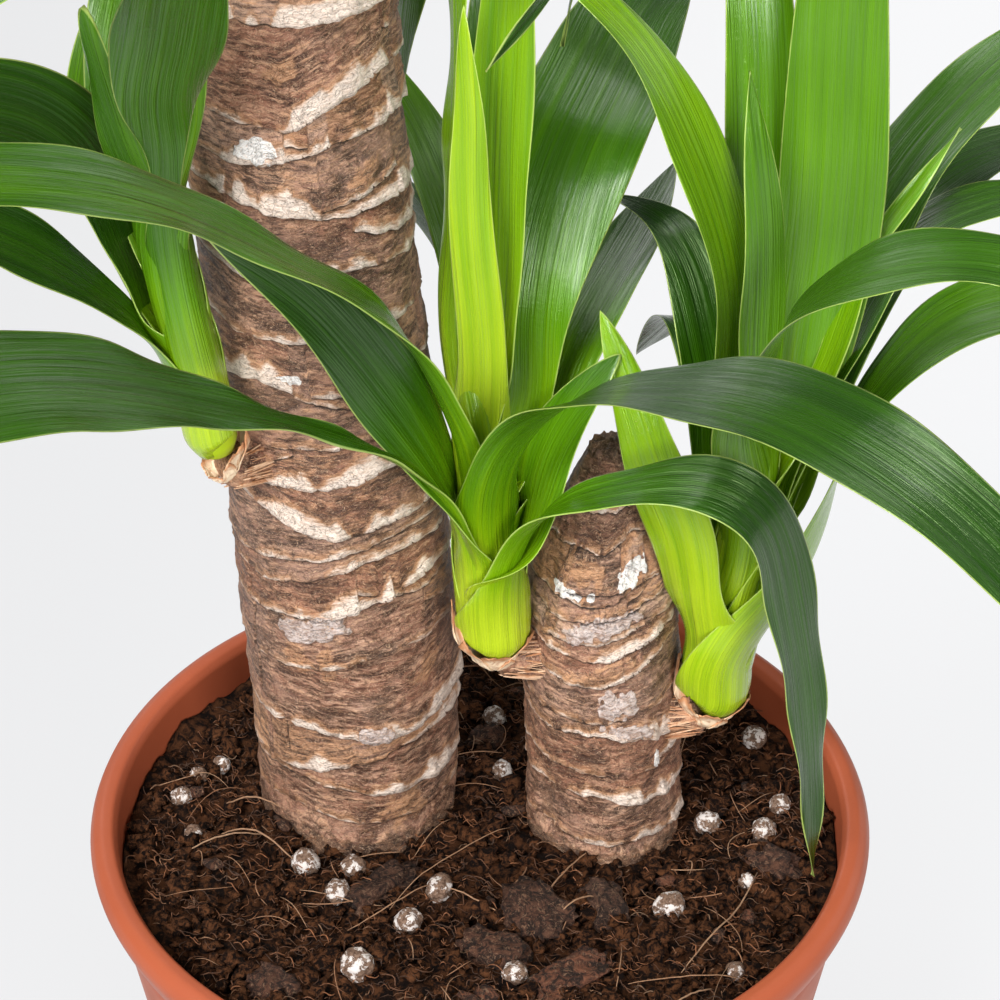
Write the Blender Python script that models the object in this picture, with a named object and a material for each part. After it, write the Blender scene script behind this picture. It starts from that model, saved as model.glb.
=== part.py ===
"""Potted yucca: a tall cane and a short cane in a round plastic pot, with leafy shoots.

The origin is the middle of the pot's underside, +Z is up and the plant is looked at along +Y.
Tables are in millimetres and are turned into metres when a mesh is made.
"""
import math
import random

import bmesh
import bpy
import numpy as np

MM = 0.001
GAP = 0.3                     # clearance between pieces that meet

# Pot: a 21 cm plastic nursery pot
POT_HEIGHT = 170
RIM_RADIUS = 105
RIM_INNER = 97.5
BODY_RADIUS = 100
BODY_TOP = POT_HEIGHT - 22        # height where the wall thickens into the rim
BODY_TOP_RADIUS = BODY_RADIUS - 1.4
BASE_RADIUS = 73
WALL = 2.0
FLOOR = 3
POT_SIDES = 44

# Soil
SOIL_TOP = 158
SOIL_HOLE_FLOOR = 70
SOIL_GAP = 0.5                # between the soil and the pot's wall
SOIL_RINGS = 8
SOIL_SIDES = 33
# Pieces of bark on the soil: x, y, turn in degrees, length, width, height
CHIPS = [(-26, -20, 52, 26, 10, 8), (4, -44, -34, 22, 12, 9), (24, -56, 31, 24, 13, 9),
         (33, -29, -73, 19, 11, 10), (15, -31, -50, 22, 15, 11), (78, -12, -39, 18, 10, 8),
         (-53, -57, -30, 16, 12, 8), (2, 44, 46, 13, 8, 7)]
# Clay beads on the soil: x, y, radius
BEADS = [(-47, -11, 4.2), (-34, -13, 3.4), (-38, -24, 3.6), (-11, -24, 4), (-19, -36, 3.8),
         (-32, -54, 4.6), (9, -54, 3.4), (50, -31, 4.4), (77, -1, 3.6), (62, 5, 3.6)]

# Canes: middle line (x, y, z) and radius
TALL_CANE = [(-33, 22, 158, 26.5), (-35, 22, 223, 28.3), (-38, 22, 280, 27.2), (-41, 22, 317, 27),
             (-45, 22, 396, 26), (-48, 22, 470, 25), (-50, 22, 548, 24)]
SHORT_CANE = [(34, 10, 158, 20.5), (32, 10, 215, 20.5), (31.5, 10, 240, 19.6), (32, 10, 253, 16.8),
              (33, 10, 264, 12.5), (34.5, 10, 280, 6.8)]
TALL_SIDES = 20
SHORT_SIDES = 18
SCAR_PITCH = 15.5             # height from one leaf scar to the next
SCAR_DEPTH = 1.0

# Shoot core: height along the shoot and radius
CORE = [(0, 4.4), (1.5, 6.8), (5, 8.2), (20, 8.2), (60, 6.6), (85, 3.6), (100, 1.2)]
CORE_SIDES = 10

# Leaves
LEAF_STEPS = 10
CROWN_LEAVES = 13
CROWN_LEAF_STEPS = 7
LEAF_THICK = 1.16

# Each shoot: foot, lean, girth, and leaves as (side it grows from in degrees, height of its root,
# width, twist in degrees, points that its middle line passes through from the foot), and for some
# the width of the neck as a share and the shares of the length between which the leaf widens
LEFT_SHOOT = dict(foot=(-65, -3, 288), lean=(-0.13, -0.06, 1), girth=0.76, leaves=[
    (-80, 18, 33, 0, [(-7, -15, 96), (-7, -21, 111), (-4, -28, 127), (-1, -36, 142), (6, -55, 172),
                      (12, -70, 190)], 0.2, 0.32, 0.66),
    (-140, 30, 14, 20, [(-12, -7, 75), (-15, -9, 88), (-19, -11, 105), (-22, -12, 120),
                        (-24, -12, 131)]),
    (170, 16, 26, -25, [(-15, 2, 37), (-18, 4, 48), (-22, 4, 64), (-27, 3, 83), (-37, 0, 96),
                        (-52, -8, 105), (-100, -25, 106)]),
    (-160, 4, 25, -30, [(-13, -3, 32), (-21, -7, 47), (-34, -13, 63), (-47, -20, 76), (-65, -32, 88),
                        (-100, -50, 96)]),
    (-100, 56, 24, 0, [(-4, -10, 100), (-5, -17, 132), (-10, -32, 155), (-20, -50, 164),
                       (-39, -72, 163), (-66, -105, 150)]),
    (105, 30, 26, 0, [(-20, 28, 72), (-11, 74, 112), (15, 136, 98)]),
    (120, 16, 26, 0, [(-23, 26, 56), (-23, 68, 84), (-15, 121, 62)]),
    (100, 50, 12, 0, [(-12, 1, 94), (-13, 3, 110), (-14, 5, 122)]),
])
MIDDLE_SHOOT = dict(foot=(4, 0, 226), lean=(-0.06, -0.05, 1), girth=1.0, leaves=[
    (-130, 6, 37, -45, [(-9, -11, 43), (-29, -34, 84), (-65, -70, 122), (-104, -112, 155),
                        (-155, -164, 168)], 0.2, 0.38, 0.85),
    (-75, 22, 31, 40, [(0, -16, 60), (7, -24, 82), (21, -36, 100), (42, -55, 115), (63, -75, 124),
                       (85, -96, 124), (108, -115, 113), (149, -150, 74)]),
    (-140, 30, 27, -30, [(-7, -9, 58), (-13, -16, 86), (-26, -28, 118), (-44, -43, 141),
                         (-71, -67, 172), (-102, -97, 197), (-160, -148, 222)], 0.5, 0.4, 0.85),
    (-165, 16, 30, -60, [(-10, -6, 44), (-18, -13, 68), (-31, -23, 96), (-47, -32, 124),
                         (-66, -42, 150)]),
    (-60, 5, 19, 80, [(4, -12, 29), (10, -17, 49), (17, -21, 58), (29, -25, 65), (50, -29, 70),
                      (64, -31, 63), (72, -30, 40), (78, -28, 7), (84, -25, -60)]),
    (-95, 46, 13, 0, [(-3, -3, 86), (-5, 0, 117), (-6, 3, 137), (-6, 5, 154), (-7, 8, 173),
                      (-7, 10, 180)]),
    (-150, 54, 13, 0, [(-12, 6, 91), (-11, 10, 110), (-10, 14, 134), (-9, 18, 152), (-9, 24, 174),
                       (-10, 40, 225)]),
    (80, 34, 39, 0, [(7, 8, 64), (9, 12, 88), (13, 24, 112), (20, 38, 128), (27, 52, 136),
                     (36, 78, 141), (52, 130, 130)], 0.3, 0.15, 0.55),
    (47, 23, 24, 0, [(10, 10, 54), (19, 20, 76), (33, 50, 86), (49, 95, 88)]),
    (95, 30, 22, 0, [(0, 28, 78), (-2, 50, 106), (-2, 70, 133), (-3, 95, 148)]),
    (126, 17, 26, 0, [(1, 24, 64), (-13, 62, 84), (-35, 104, 88)]),
    (112, 22, 20, 0, [(-4, 24, 81), (-14, 55, 109), (-24, 80, 118), (-38, 110, 123)]),
    (64, 51, 18, 0, [(0, 4, 84), (2, 12, 136), (4, 18, 184), (7, 34, 250)]),
    (-22, 13, 22, 60, [(9, -6, 42), (13, -5, 61), (21, -3, 77), (31, 0, 89)]),
    (95, 6, 26, 0, [(0, 22, 46), (7, 70, 64), (11, 135, 38)]),
])
RIGHT_SHOOT = dict(foot=(61, 4, 203), lean=(0.12, -0.03, 1), girth=1.0, leaves=[
    (80, 34, 30, 0, [(15, 9, 62), (22, 11, 96), (25, 13, 128), (26, 16, 158), (26, 20, 196),
                     (30, 40, 270)]),
    (150, 40, 27, 0, [(2, 3, 98), (2, 3, 123), (-3, 5, 147), (-12, 9, 170), (-23, 15, 188),
                      (-50, 32, 207)]),
    (40, 28, 30, 0, [(18, 12, 77), (28, 22, 102), (39, 36, 125), (56, 50, 145), (110, 90, 174)]),
    (50, 18, 32, 0, [(18, 16, 67), (30, 30, 96), (44, 50, 113), (62, 70, 120), (115, 120, 104)]),
    (15, 22, 28, 0, [(20, 8, 72), (31, 16, 102), (46, 26, 124), (72, 36, 132), (120, 60, 120)]),
    (-70, 36, 25, 40, [(5, -12, 90), (6, -22, 116), (13, -32, 140), (25, -43, 158), (40, -53, 169),
                       (57, -63, 174), (110, -95, 164)]),
    (-50, 5, 29, 50, [(7, -8, 18), (18, -6, 38), (27, -2, 60), (33, 1, 84), (42, 1, 102), (56, 0, 118),
                      (80, -8, 129), (135, -25, 122)]),
    (110, 30, 24, 0, [(2, 14, 70), (1, 16, 86), (-2, 21, 102), (-6, 30, 115), (-13, 40, 123),
                      (-26, 53, 123)]),
    (110, 12, 22, 0, [(2, 16, 58), (0, 25, 84), (-5, 42, 92), (-11, 58, 80), (-18, 72, 62)]),
    (-140, 8, 19, 50, [(-6, -9, 37), (-10, -14, 63), (-17, -14, 83), (-23, -8, 101), (-31, 2, 121)]),
    (30, 50, 10, 0, [(26, 6, 100), (36, 12, 131), (44, 18, 141), (58, 28, 157)]),
    (95, 52, 22, 0, [(8, 10, 102), (9, 22, 154), (7, 34, 192), (2, 60, 254)]),
    (-60, 56, 16, 0, [(10, 0, 97), (9, 2, 142), (6, 6, 167), (4, 12, 182)]),
    (75, 6, 28, 0, [(10, 22, 50), (18, 70, 78), (26, 140, 48)]),
])
LEFT_CROWN = dict(foot=(-80, 10, 520), lean=(-0.25, -0.08, 1), girth=1.0, leaves=[])
RIGHT_CROWN = dict(foot=(-20, 30, 530), lean=(0.25, 0.1, 1), girth=1.0, leaves=[])
# Long leaves of the right crown that hang down
HANGING_LEAVES = [
    (60, 10, 30, 0, [(14, 18, 52), (24, 30, 74), (32, 38, 66), (30, 40, 30), (20, 34, -20),
                     (9, 30, -83), (7, 28, -115), (3, 25, -147), (0, 22, -177)]),
    (-20, 16, 20, 0, [(20, -14, 56), (38, -26, 66), (52, -32, 40), (50, -32, -10), (47, -30, -56),
                      (48, -31, -91), (36, -33, -114), (22, -34, -134)]),
    (30, 22, 16, 0, [(24, 6, 62), (42, 12, 66), (54, 16, 30), (52, 18, -40), (47, 18, -90),
                     (46, 16, -120), (43, 15, -141), (41, 15, -154)]),
]


def unit(vector):
    vector = np.asarray(vector, float)
    return vector / np.linalg.norm(vector)


def ease(start, end, value):
    x = np.clip((value - start) / (end - start), 0, 1)
    return x * x * (3 - 2 * x)


def make_object(name, points, faces):
    """Make a mesh object from points in millimetres."""
    mesh = bpy.data.meshes.new(name)
    mesh.from_pydata([tuple(np.asarray(p) * MM) for p in points], [], faces)
    shape = bmesh.new()
    shape.from_mesh(mesh)
    bmesh.ops.triangulate(shape, faces=[f for f in shape.faces if len(f.verts) > 4])
    bmesh.ops.recalc_face_normals(shape, faces=shape.faces)
    shape.to_mesh(mesh)
    shape.free()
    obj = bpy.data.objects.new(name, mesh)
    bpy.context.collection.objects.link(obj)
    return obj


def loft(name, rings):
    """Join rings of points into a closed skin with flat ends."""
    sides = len(rings[0])
    points = [p for ring in rings for p in ring]
    faces = []
    for i in range(len(rings) - 1):
        for j in range(sides):
            a = i * sides + j
            b = i * sides + (j + 1) % sides
            faces.append((a, b, b + sides, a + sides))
    last = (len(rings) - 1) * sides
    faces.append(tuple(reversed(range(sides))))
    faces.append(tuple(last + j for j in range(sides)))
    return make_object(name, points, faces)


def revolve(name, profile, foot, lean, sides):
    """Turn a list of (height, radius) about a line into a closed solid."""
    foot = np.asarray(foot, float)
    axis = unit(lean)
    side = unit(np.cross(axis, (0, 1, 0)))
    other = np.cross(axis, side)
    rings = []
    for height, radius in profile:
        ring = []
        for k in range(sides):
            turn = 2 * math.pi * k / sides
            ring.append(foot + axis * height + radius * (side * math.cos(turn) + other * math.sin(turn)))
        rings.append(ring)
    return loft(name, rings)


def tube(name, ends, radii, sides):
    """A straight tapered rod between two points."""
    start = np.asarray(ends[0], float)
    way = np.asarray(ends[1], float) - start
    return revolve(name, [(0, radii[0]), (np.linalg.norm(way), radii[1])], start, way, sides)


def boolean(target, cutter, operation, solver="EXACT"):
    """Apply one Boolean to target and remove the cutter."""
    modifier = target.modifiers.new(operation.lower(), "BOOLEAN")
    modifier.operation = operation
    modifier.solver = solver
    modifier.object = cutter
    bake(target)
    bpy.data.objects.remove(cutter)


def unite(target, parts):
    """Fuse a list of solids into target and remove them."""
    group = bpy.data.collections.new("fuse")
    for part in parts:
        group.objects.link(part)
    modifier = target.modifiers.new("fuse", "BOOLEAN")
    modifier.operation = "UNION"
    modifier.solver = "MANIFOLD"
    modifier.operand_type = "COLLECTION"
    modifier.collection = group
    bake(target)
    for part in parts:
        bpy.data.objects.remove(part)
    bpy.data.collections.remove(group)


def keep_outer_skin(obj):
    """Fill the pockets closed in between fused leaves by removing every skin but the largest."""
    shape = bmesh.new()
    shape.from_mesh(obj.data)
    bmesh.ops.remove_doubles(shape, verts=shape.verts, dist=5e-7)
    waiting = set(shape.faces)
    skins = []
    while waiting:
        skin = [waiting.pop()]
        for face in skin:
            for edge in face.edges:
                for other in edge.link_faces:
                    if other in waiting:
                        waiting.remove(other)
                        skin.append(other)
        skins.append(skin)
    skins.sort(key=len)
    inner = [face for skin in skins[:-1] for face in skin]
    bmesh.ops.delete(shape, geom=inner, context="FACES")
    shape.to_mesh(obj.data)
    shape.free()


def bake(obj):
    """Replace an object's mesh by its result with the modifiers applied."""
    graph = bpy.context.evaluated_depsgraph_get()
    mesh = bpy.data.meshes.new_from_object(obj.evaluated_get(graph))
    obj.modifiers.clear()
    old = obj.data
    obj.data = mesh
    bpy.data.meshes.remove(old)


def paint(obj, name, color, roughness):
    """Give a node its own material."""
    material = bpy.data.materials.new(name)
    material.use_nodes = True
    shader = material.node_tree.nodes["Principled BSDF"]
    shader.inputs["Base Color"].default_value = (*color, 1)
    shader.inputs["Roughness"].default_value = roughness
    obj.data.materials.clear()
    obj.data.materials.append(material)


# The pot

def make_pot():
    """Thin tapered wall with a rolled rim and a closed flat floor."""
    outer = [
        (0, BASE_RADIUS - 2),
        (2, BASE_RADIUS),
        (BODY_TOP, BODY_TOP_RADIUS),
        (POT_HEIGHT - 9, BODY_RADIUS),
        (POT_HEIGHT - 8, RIM_RADIUS - 1.6),
        (POT_HEIGHT - 5.5, RIM_RADIUS),
        (POT_HEIGHT - 2, RIM_RADIUS - 0.6),
        (POT_HEIGHT, RIM_RADIUS - 3.4),
        (POT_HEIGHT - 0.6, RIM_INNER + 1),
        (POT_HEIGHT - 3, RIM_INNER),
    ]
    inner = [(BODY_TOP, BODY_TOP_RADIUS - WALL), (FLOOR, BASE_RADIUS - WALL)]
    pot = revolve("pot", outer + inner, (0, 0, 0), (0, 0, 1), POT_SIDES)
    paint(pot, "terracotta plastic", (0.62, 0.15, 0.07), 0.45)
    return pot


# The canes

def cane_at(line, z):
    """Middle and radius of a cane at a height."""
    heights = [row[2] for row in line]
    return [float(np.interp(z, heights, [row[k] for row in line])) for k in (0, 1, 3)]


def scar_slope(n, turn):
    """Rise and fall of leaf scar n around the cane."""
    return 5 * math.cos(turn + 0.9 + 0.3 * math.sin(n)) + 2.2 * math.sin(2 * turn + 0.9 * n)


def cane_rings(line, sides):
    """Rings of a cane: plain in the soil, then a lip and a step in above it at each leaf scar."""
    foot, top = line[0][2], line[-1][2]
    plain = [(SOIL_HOLE_FLOOR + GAP, 0, 0, 0), (foot + 3, 0, 0, 0)]
    count = round((top - foot) / SCAR_PITCH)
    scars = []
    for n in range(1, count):
        height = foot + 2 + (top - foot - 2) * n / count + 1.2 * math.sin(1.7 * n)
        scars.append((height, SCAR_DEPTH, n, min(1, n / 2, (count - n) / 2)))
        scars.append((height + 2.6, -0.7 * SCAR_DEPTH, n, min(1, n / 2, (count - n) / 2)))
    rings = []
    for height, depth, n, fade in plain + scars + [(top, 0, 0, 0)]:
        ring = []
        for k in range(sides):
            turn = 2 * math.pi * k / sides
            z = height + fade * scar_slope(n, turn)
            x, y, radius = cane_at(line, z)
            lump = 0.5 * math.sin(3 * turn + z / 31) + 0.4 * math.sin(5 * turn - z / 17)
            r = radius + fade * (depth + lump)
            ring.append((x + r * math.cos(turn), y + r * math.sin(turn), z))
        rings.append(ring)
    return rings


def ragged_top(line, lift, sides):
    """Two smaller rings above the last one: the dry, fibrous face of the cut."""
    x, y, radius = cane_at(line, line[-1][2])
    rings = []
    for share, rise in ((0.86, 0.55), (0.45, 1.0)):
        row = []
        for k in range(sides):
            turn = 2 * math.pi * k / sides
            r = radius * share
            bump = lift * rise * (1 + 0.25 * math.sin(3 * turn + 5 * share))
            row.append((x + r * math.cos(turn), y + r * math.sin(turn), line[-1][2] + bump))
        rings.append(row)
    return rings


def make_cane(name, line, sides, lift, shoots):
    """A cane with its bark and one short neck for each shoot that grows from it."""
    cane = loft(name, cane_rings(line, sides) + ragged_top(line, lift, sides))
    for shoot in shoots:
        boolean(cane, make_neck(line, shoot, 0.0), "UNION")
    paint(cane, name + " bark", (0.22, 0.13, 0.085), 0.85)
    return cane


def make_neck(line, shoot, spread):
    """The short woody neck from the cane to just past a shoot's middle, under its foot."""
    foot = np.asarray(shoot["foot"], float)
    axis = unit(shoot["lean"])
    end = foot - axis * 4.2
    x, y, radius = cane_at(line, min(end[2], line[-1][2]) - 5)
    start = np.array([x, y, min(end[2], line[-1][2]) - 5])
    start = start + (end - start) * 0.35
    end = end + unit(end - start) * (1.5 + spread)
    return tube("neck", (start, end), (6.6 + spread, 3.4 + spread), 12)


# The collars of dry leaf bases

def make_collar(name, line, shoot):
    """A cup of dry leaf bases that holds the foot of a shoot against its cane."""
    foot, lean = shoot["foot"], shoot["lean"]
    outer = [(-8, 3.0), (-6, 6.4), (-2, 8.8), (2, 9.8), (5, 10.2)]
    inner = [(5, 9.4), (1.5, 7.1 + GAP), (-GAP, 4.4 + GAP)]
    collar = revolve(name, outer + inner, foot, lean, 12)
    boolean(collar, make_neck(line, shoot, GAP), "DIFFERENCE")
    x, y, radius = cane_at(line, foot[2])
    wall = [(-30, radius + 2.5), (30, radius + 2.5)]
    boolean(collar, revolve("cane space", wall, (x, y, foot[2]), (0, 0, 1), 24), "DIFFERENCE")
    paint(collar, name + " husk", (0.62, 0.43, 0.24), 0.8)
    return collar


# The leafy shoots

def curve_through(points, count):
    """Evenly spaced points on a natural cubic spline."""
    points = np.asarray(points, float)
    last = len(points) - 1
    knots = np.concatenate([[0], np.cumsum(np.linalg.norm(np.diff(points, axis=0), axis=1) ** 0.75)])
    steps = np.diff(knots)
    system = np.eye(last + 1)
    bend = np.zeros((last + 1, 3))
    for i in range(1, last):
        system[i, i - 1:i + 2] = (steps[i - 1], 2 * (steps[i - 1] + steps[i]), steps[i])
        bend[i] = 6 * ((points[i + 1] - points[i]) / steps[i] - (points[i] - points[i - 1]) / steps[i - 1])
    moments = np.linalg.solve(system, bend)
    fine = []
    for t in np.linspace(0, knots[-1], 300):
        i = min(int(np.searchsorted(knots, t, side="right")) - 1, last - 1)
        a, b, h = knots[i + 1] - t, t - knots[i], steps[i]
        fine.append((moments[i] * a ** 3 + moments[i + 1] * b ** 3) / (6 * h)
                    + (points[i] / h - moments[i] * h / 6) * a
                    + (points[i + 1] / h - moments[i + 1] * h / 6) * b)
    fine = np.array(fine)
    run = np.concatenate([[0], np.cumsum(np.linalg.norm(np.diff(fine, axis=0), axis=1))])
    places = np.linspace(0, run[-1], count)
    return np.stack([np.interp(places, run, fine[:, k]) for k in range(3)], -1)


def leaf_frame(shoot, leaf, count):
    """Middle line of a leaf with its sideways and upward directions, half width and fold."""
    side, start, width, twist, through = leaf[:5]
    neck, narrow_until, wide_from = leaf[5:] or (0.62, 0.14, 0.55)
    girth = shoot["girth"]
    foot = np.asarray(shoot["foot"], float)
    axis = unit(shoot["lean"])
    out = np.array([math.cos(math.radians(side)), math.sin(math.radians(side)), 0])
    out = unit(out - axis * (out @ axis))
    points = [foot + axis * start + out * 5 * girth, foot + axis * (start + 12) + out * 9 * girth]
    points += [foot + np.asarray(p, float) for p in through]
    middle = curve_through(points, count)
    share = np.linspace(0, 1, count)
    along = np.gradient(middle, axis=0)
    along /= np.linalg.norm(along, axis=1)[:, None]
    across = []
    direction = unit(np.cross(axis, out))
    for step in along:
        direction = unit(direction - step * (direction @ step))
        across.append(direction)
    across = np.array(across)
    up = np.cross(along, across)
    turn = np.radians(twist * ease(0.05, 0.6, share))[:, None]
    across, up = across * np.cos(turn) + up * np.sin(turn), up * np.cos(turn) - across * np.sin(turn)
    swell = 0.80 - (0.80 - neck) * ease(0.0, 0.14, share) + (1 - neck) * ease(narrow_until, wide_from, share)
    half = width / 2 * swell * np.clip(1 - share ** 3.2, 0, 1) ** 0.8
    fold = np.radians(14 + 58 * (1 - ease(0.0, 0.25, share)))
    return middle, across, up, half, fold


def make_leaf(shoot, leaf, steps):
    """One blade: a shallow channel with a flat diamond section that runs out to a point."""
    middle, across, up, half, fold = leaf_frame(shoot, leaf, steps)
    points = []
    for i in range(steps - 1):
        reach = half[i] * math.sin(fold[i]) / fold[i]
        rise = half[i] * (1 - math.cos(fold[i])) / fold[i]
        points += [
            middle[i] - across[i] * reach + up[i] * rise,
            middle[i] + up[i] * LEAF_THICK / 2,
            middle[i] + across[i] * reach + up[i] * rise,
            middle[i] - up[i] * LEAF_THICK / 2,
        ]
    tip = len(points)
    points.append(middle[-1])
    faces = [(0, 1, 2), (0, 2, 3)]
    for i in range(steps - 2):
        a = 4 * i
        b = a + 4
        faces += [(a, b, b + 1), (a, b + 1, a + 1), (a, b, b + 3), (a, b + 3, a + 3)]
        faces += [(a + 1, b + 1, b + 2), (a + 1, b + 2, a + 2), (a + 3, b + 3, b + 2), (a + 3, b + 2, a + 2)]
    a = 4 * (steps - 2)
    faces += [(a, a + 1, tip), (a + 1, a + 2, tip), (a + 2, a + 3, tip), (a + 3, a, tip)]
    return make_object("leaf", points, faces)


def make_shoot(name, shoot, color, steps=LEAF_STEPS):
    """The pale core of a shoot with all its leaves fused to it."""
    core = [(height, radius * shoot["girth"]) for height, radius in CORE]
    node = revolve(name, core, shoot["foot"], shoot["lean"], CORE_SIDES)
    unite(node, [make_leaf(shoot, leaf, max(steps, len(leaf[4]) + 1)) for leaf in shoot["leaves"]])
    keep_outer_skin(node)
    paint(node, name + " leaf", color, 0.4)
    return node


def rosette(outward, seed):
    """Leaves of a crown: low ones arch out and droop, high ones stand up; none reach across the other crown."""
    pick = random.Random(seed)
    leaves = []
    for k in range(CROWN_LEAVES):
        level = k / (CROWN_LEAVES - 1)
        side = outward - 105 + (137.5 * k) % 210
        turn = math.radians(side + pick.uniform(-5, 5))
        out = (75 - 60 * level) * pick.uniform(0.9, 1.1)
        far = (205 - 165 * level) * pick.uniform(0.9, 1.1)
        rise = 95 + 70 * level
        high = (60 + 245 * level) * pick.uniform(0.92, 1.08)
        points = [(out * math.cos(turn), out * math.sin(turn), rise),
                  (far * math.cos(turn), far * math.sin(turn), high)]
        leaves.append((side, 6 + 54 * level, 30 - 5 * level, pick.uniform(-20, 20), points))
    return leaves


# The soil

def soil_height(x, y):
    """Uneven, crumbly top of the soil."""
    wave = 1.5 * math.sin(x / 11 + 1) * math.cos(y / 13) + 1.0 * math.sin(x / 5.5 - y / 7)
    return SOIL_TOP + wave + 0.9 * math.cos(y / 4.6 + x / 19)


def make_chip(chip):
    """A piece of bark lying half sunk in the soil."""
    x, y, turn, length, width, height = chip
    way = (math.cos(math.radians(turn)), math.sin(math.radians(turn)))
    rings = []
    for along, size in ((-1, 0.4), (-0.65, 0.9), (0.6, 1), (1, 0.5)):
        ring = []
        for k in range(6):
            around = math.radians(60 * k + 12)
            side = size * width / 2 * math.cos(around)
            rise = size * height / 2 * math.sin(around) + 1.2 * along
            ring.append((x + way[0] * along * length / 2 - way[1] * side,
                         y + way[1] * along * length / 2 + way[0] * side,
                         soil_height(x, y) + rise))
        rings.append(ring)
    return loft("chip", rings)


def make_bead(bead):
    """A clay bead pressed into the soil."""
    x, y, radius = bead
    profile = [(-0.9 * radius, 0.4 * radius), (-0.3 * radius, 0.95 * radius), (0.35 * radius, 0.93 * radius),
               (0.95 * radius, 0.3 * radius)]
    return revolve("bead", profile, (x, y, soil_height(x, y) + 0.3 * radius), (0.1, 0.05, 1), 6)


def make_soil():
    """Fill of the pot with plain holes for the canes, bark chips and clay beads."""
    points = [(0, 0, soil_height(0, 0))]
    rows = []
    edge = RIM_INNER - 0.4 - SOIL_GAP
    levels = [(None, edge * i / SOIL_RINGS) for i in range(1, SOIL_RINGS + 1)]
    levels += [(BODY_TOP, BODY_TOP_RADIUS - WALL - SOIL_GAP), (FLOOR + GAP, BASE_RADIUS - WALL - SOIL_GAP)]
    for i, (z, radius) in enumerate(levels):
        rows.append(len(points))
        shift = 0.5 * (min(i, SOIL_RINGS - 1) % 2)
        for k in range(SOIL_SIDES):
            turn = 2 * math.pi * (k + shift) / SOIL_SIDES
            x, y = radius * math.cos(turn), radius * math.sin(turn)
            points.append((x, y, soil_height(x, y) if z is None else z))
    faces = [(0, rows[0] + k, rows[0] + (k + 1) % SOIL_SIDES) for k in range(SOIL_SIDES)]
    for lower, upper in zip(rows, rows[1:]):
        for k in range(SOIL_SIDES):
            n = (k + 1) % SOIL_SIDES
            faces.append((lower + k, upper + k, upper + n, lower + n))
    faces.append(tuple(rows[-1] + k for k in range(SOIL_SIDES)))
    soil = make_object("soil", points, faces)
    unite(soil, [make_chip(chip) for chip in CHIPS] + [make_bead(bead) for bead in BEADS])
    for line, sides in ((TALL_CANE, 32), (SHORT_CANE, 28)):
        x, y, z, radius = line[0]
        hole = [(0, radius + GAP), (SOIL_TOP, radius + GAP)]
        boolean(soil, revolve("hole", hole, (x, y, SOIL_HOLE_FLOOR), (0, 0, 1), sides), "DIFFERENCE")
    paint(soil, "potting soil", (0.045, 0.025, 0.015), 0.95)
    return soil


def main():
    for obj in list(bpy.data.objects):
        bpy.data.objects.remove(obj)
    LEFT_CROWN["leaves"] = rosette(195, 5)
    standing = [leaf for k, leaf in enumerate(rosette(15, 8)) if k not in (3, 5, 7)]
    RIGHT_CROWN["leaves"] = standing + HANGING_LEAVES
    make_pot()
    make_soil()
    make_cane("cane_tall", TALL_CANE, TALL_SIDES, 3, [LEFT_SHOOT, LEFT_CROWN, RIGHT_CROWN])
    make_cane("cane_short", SHORT_CANE, SHORT_SIDES, 3, [MIDDLE_SHOOT, RIGHT_SHOOT])
    make_collar("collar_left", TALL_CANE, LEFT_SHOOT)
    make_collar("collar_middle", SHORT_CANE, MIDDLE_SHOOT)
    make_collar("collar_right", SHORT_CANE, RIGHT_SHOOT)
    make_collar("collar_crown_left", TALL_CANE, LEFT_CROWN)
    make_collar("collar_crown_right", TALL_CANE, RIGHT_CROWN)
    make_shoot("shoot_left", LEFT_SHOOT, (0.10, 0.30, 0.03))
    make_shoot("shoot_middle", MIDDLE_SHOOT, (0.12, 0.33, 0.03))
    make_shoot("shoot_right", RIGHT_SHOOT, (0.12, 0.33, 0.03))
    make_shoot("crown_left", LEFT_CROWN, (0.09, 0.27, 0.03), CROWN_LEAF_STEPS)
    make_shoot("crown_right", RIGHT_CROWN, (0.09, 0.27, 0.03), CROWN_LEAF_STEPS)


main()
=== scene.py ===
"""Potted yucca: two barked canes in a round plastic pot, with arching leafy shoots.

Tables are in millimetres from the middle of the pot's underside, or from a shoot's foot.
"""
import math
import random

import bmesh
import bpy
import numpy as np
from mathutils import Matrix, Vector, noise


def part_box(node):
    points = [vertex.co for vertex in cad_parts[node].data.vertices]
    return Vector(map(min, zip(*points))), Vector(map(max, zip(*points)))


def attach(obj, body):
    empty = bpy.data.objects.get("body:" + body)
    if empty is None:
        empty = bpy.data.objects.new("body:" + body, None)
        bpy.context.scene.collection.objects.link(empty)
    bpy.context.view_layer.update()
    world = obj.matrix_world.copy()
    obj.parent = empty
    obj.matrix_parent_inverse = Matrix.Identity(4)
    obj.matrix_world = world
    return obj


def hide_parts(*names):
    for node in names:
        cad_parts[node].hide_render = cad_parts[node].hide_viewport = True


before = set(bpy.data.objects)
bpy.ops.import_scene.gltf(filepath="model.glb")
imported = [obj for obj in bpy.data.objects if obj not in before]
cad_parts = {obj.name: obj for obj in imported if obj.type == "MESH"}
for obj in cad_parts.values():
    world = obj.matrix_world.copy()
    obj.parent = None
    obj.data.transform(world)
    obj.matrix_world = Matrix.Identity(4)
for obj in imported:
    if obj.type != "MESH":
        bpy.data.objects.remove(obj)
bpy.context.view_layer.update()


# The pot
# A round nursery pot, moulded in one piece from terracotta-coloured plastic, thin-walled, with a
# rolled rim. It stands on its flat floor and is filled to just under the rim.
MM = 0.001
POT_HIGH = np.array(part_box("pot")[1]) / MM
RIM_TOP = POT_HIGH[2]
RIM_OUT = POT_HIGH[0]
RIM_IN = RIM_OUT - 7.5
WALL_TOP_RADIUS = RIM_OUT - 6.4
WALL_FOOT_RADIUS = RIM_OUT - 32
WALL_THICK = 2.0
FLOOR_THICK = 3.0
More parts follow.
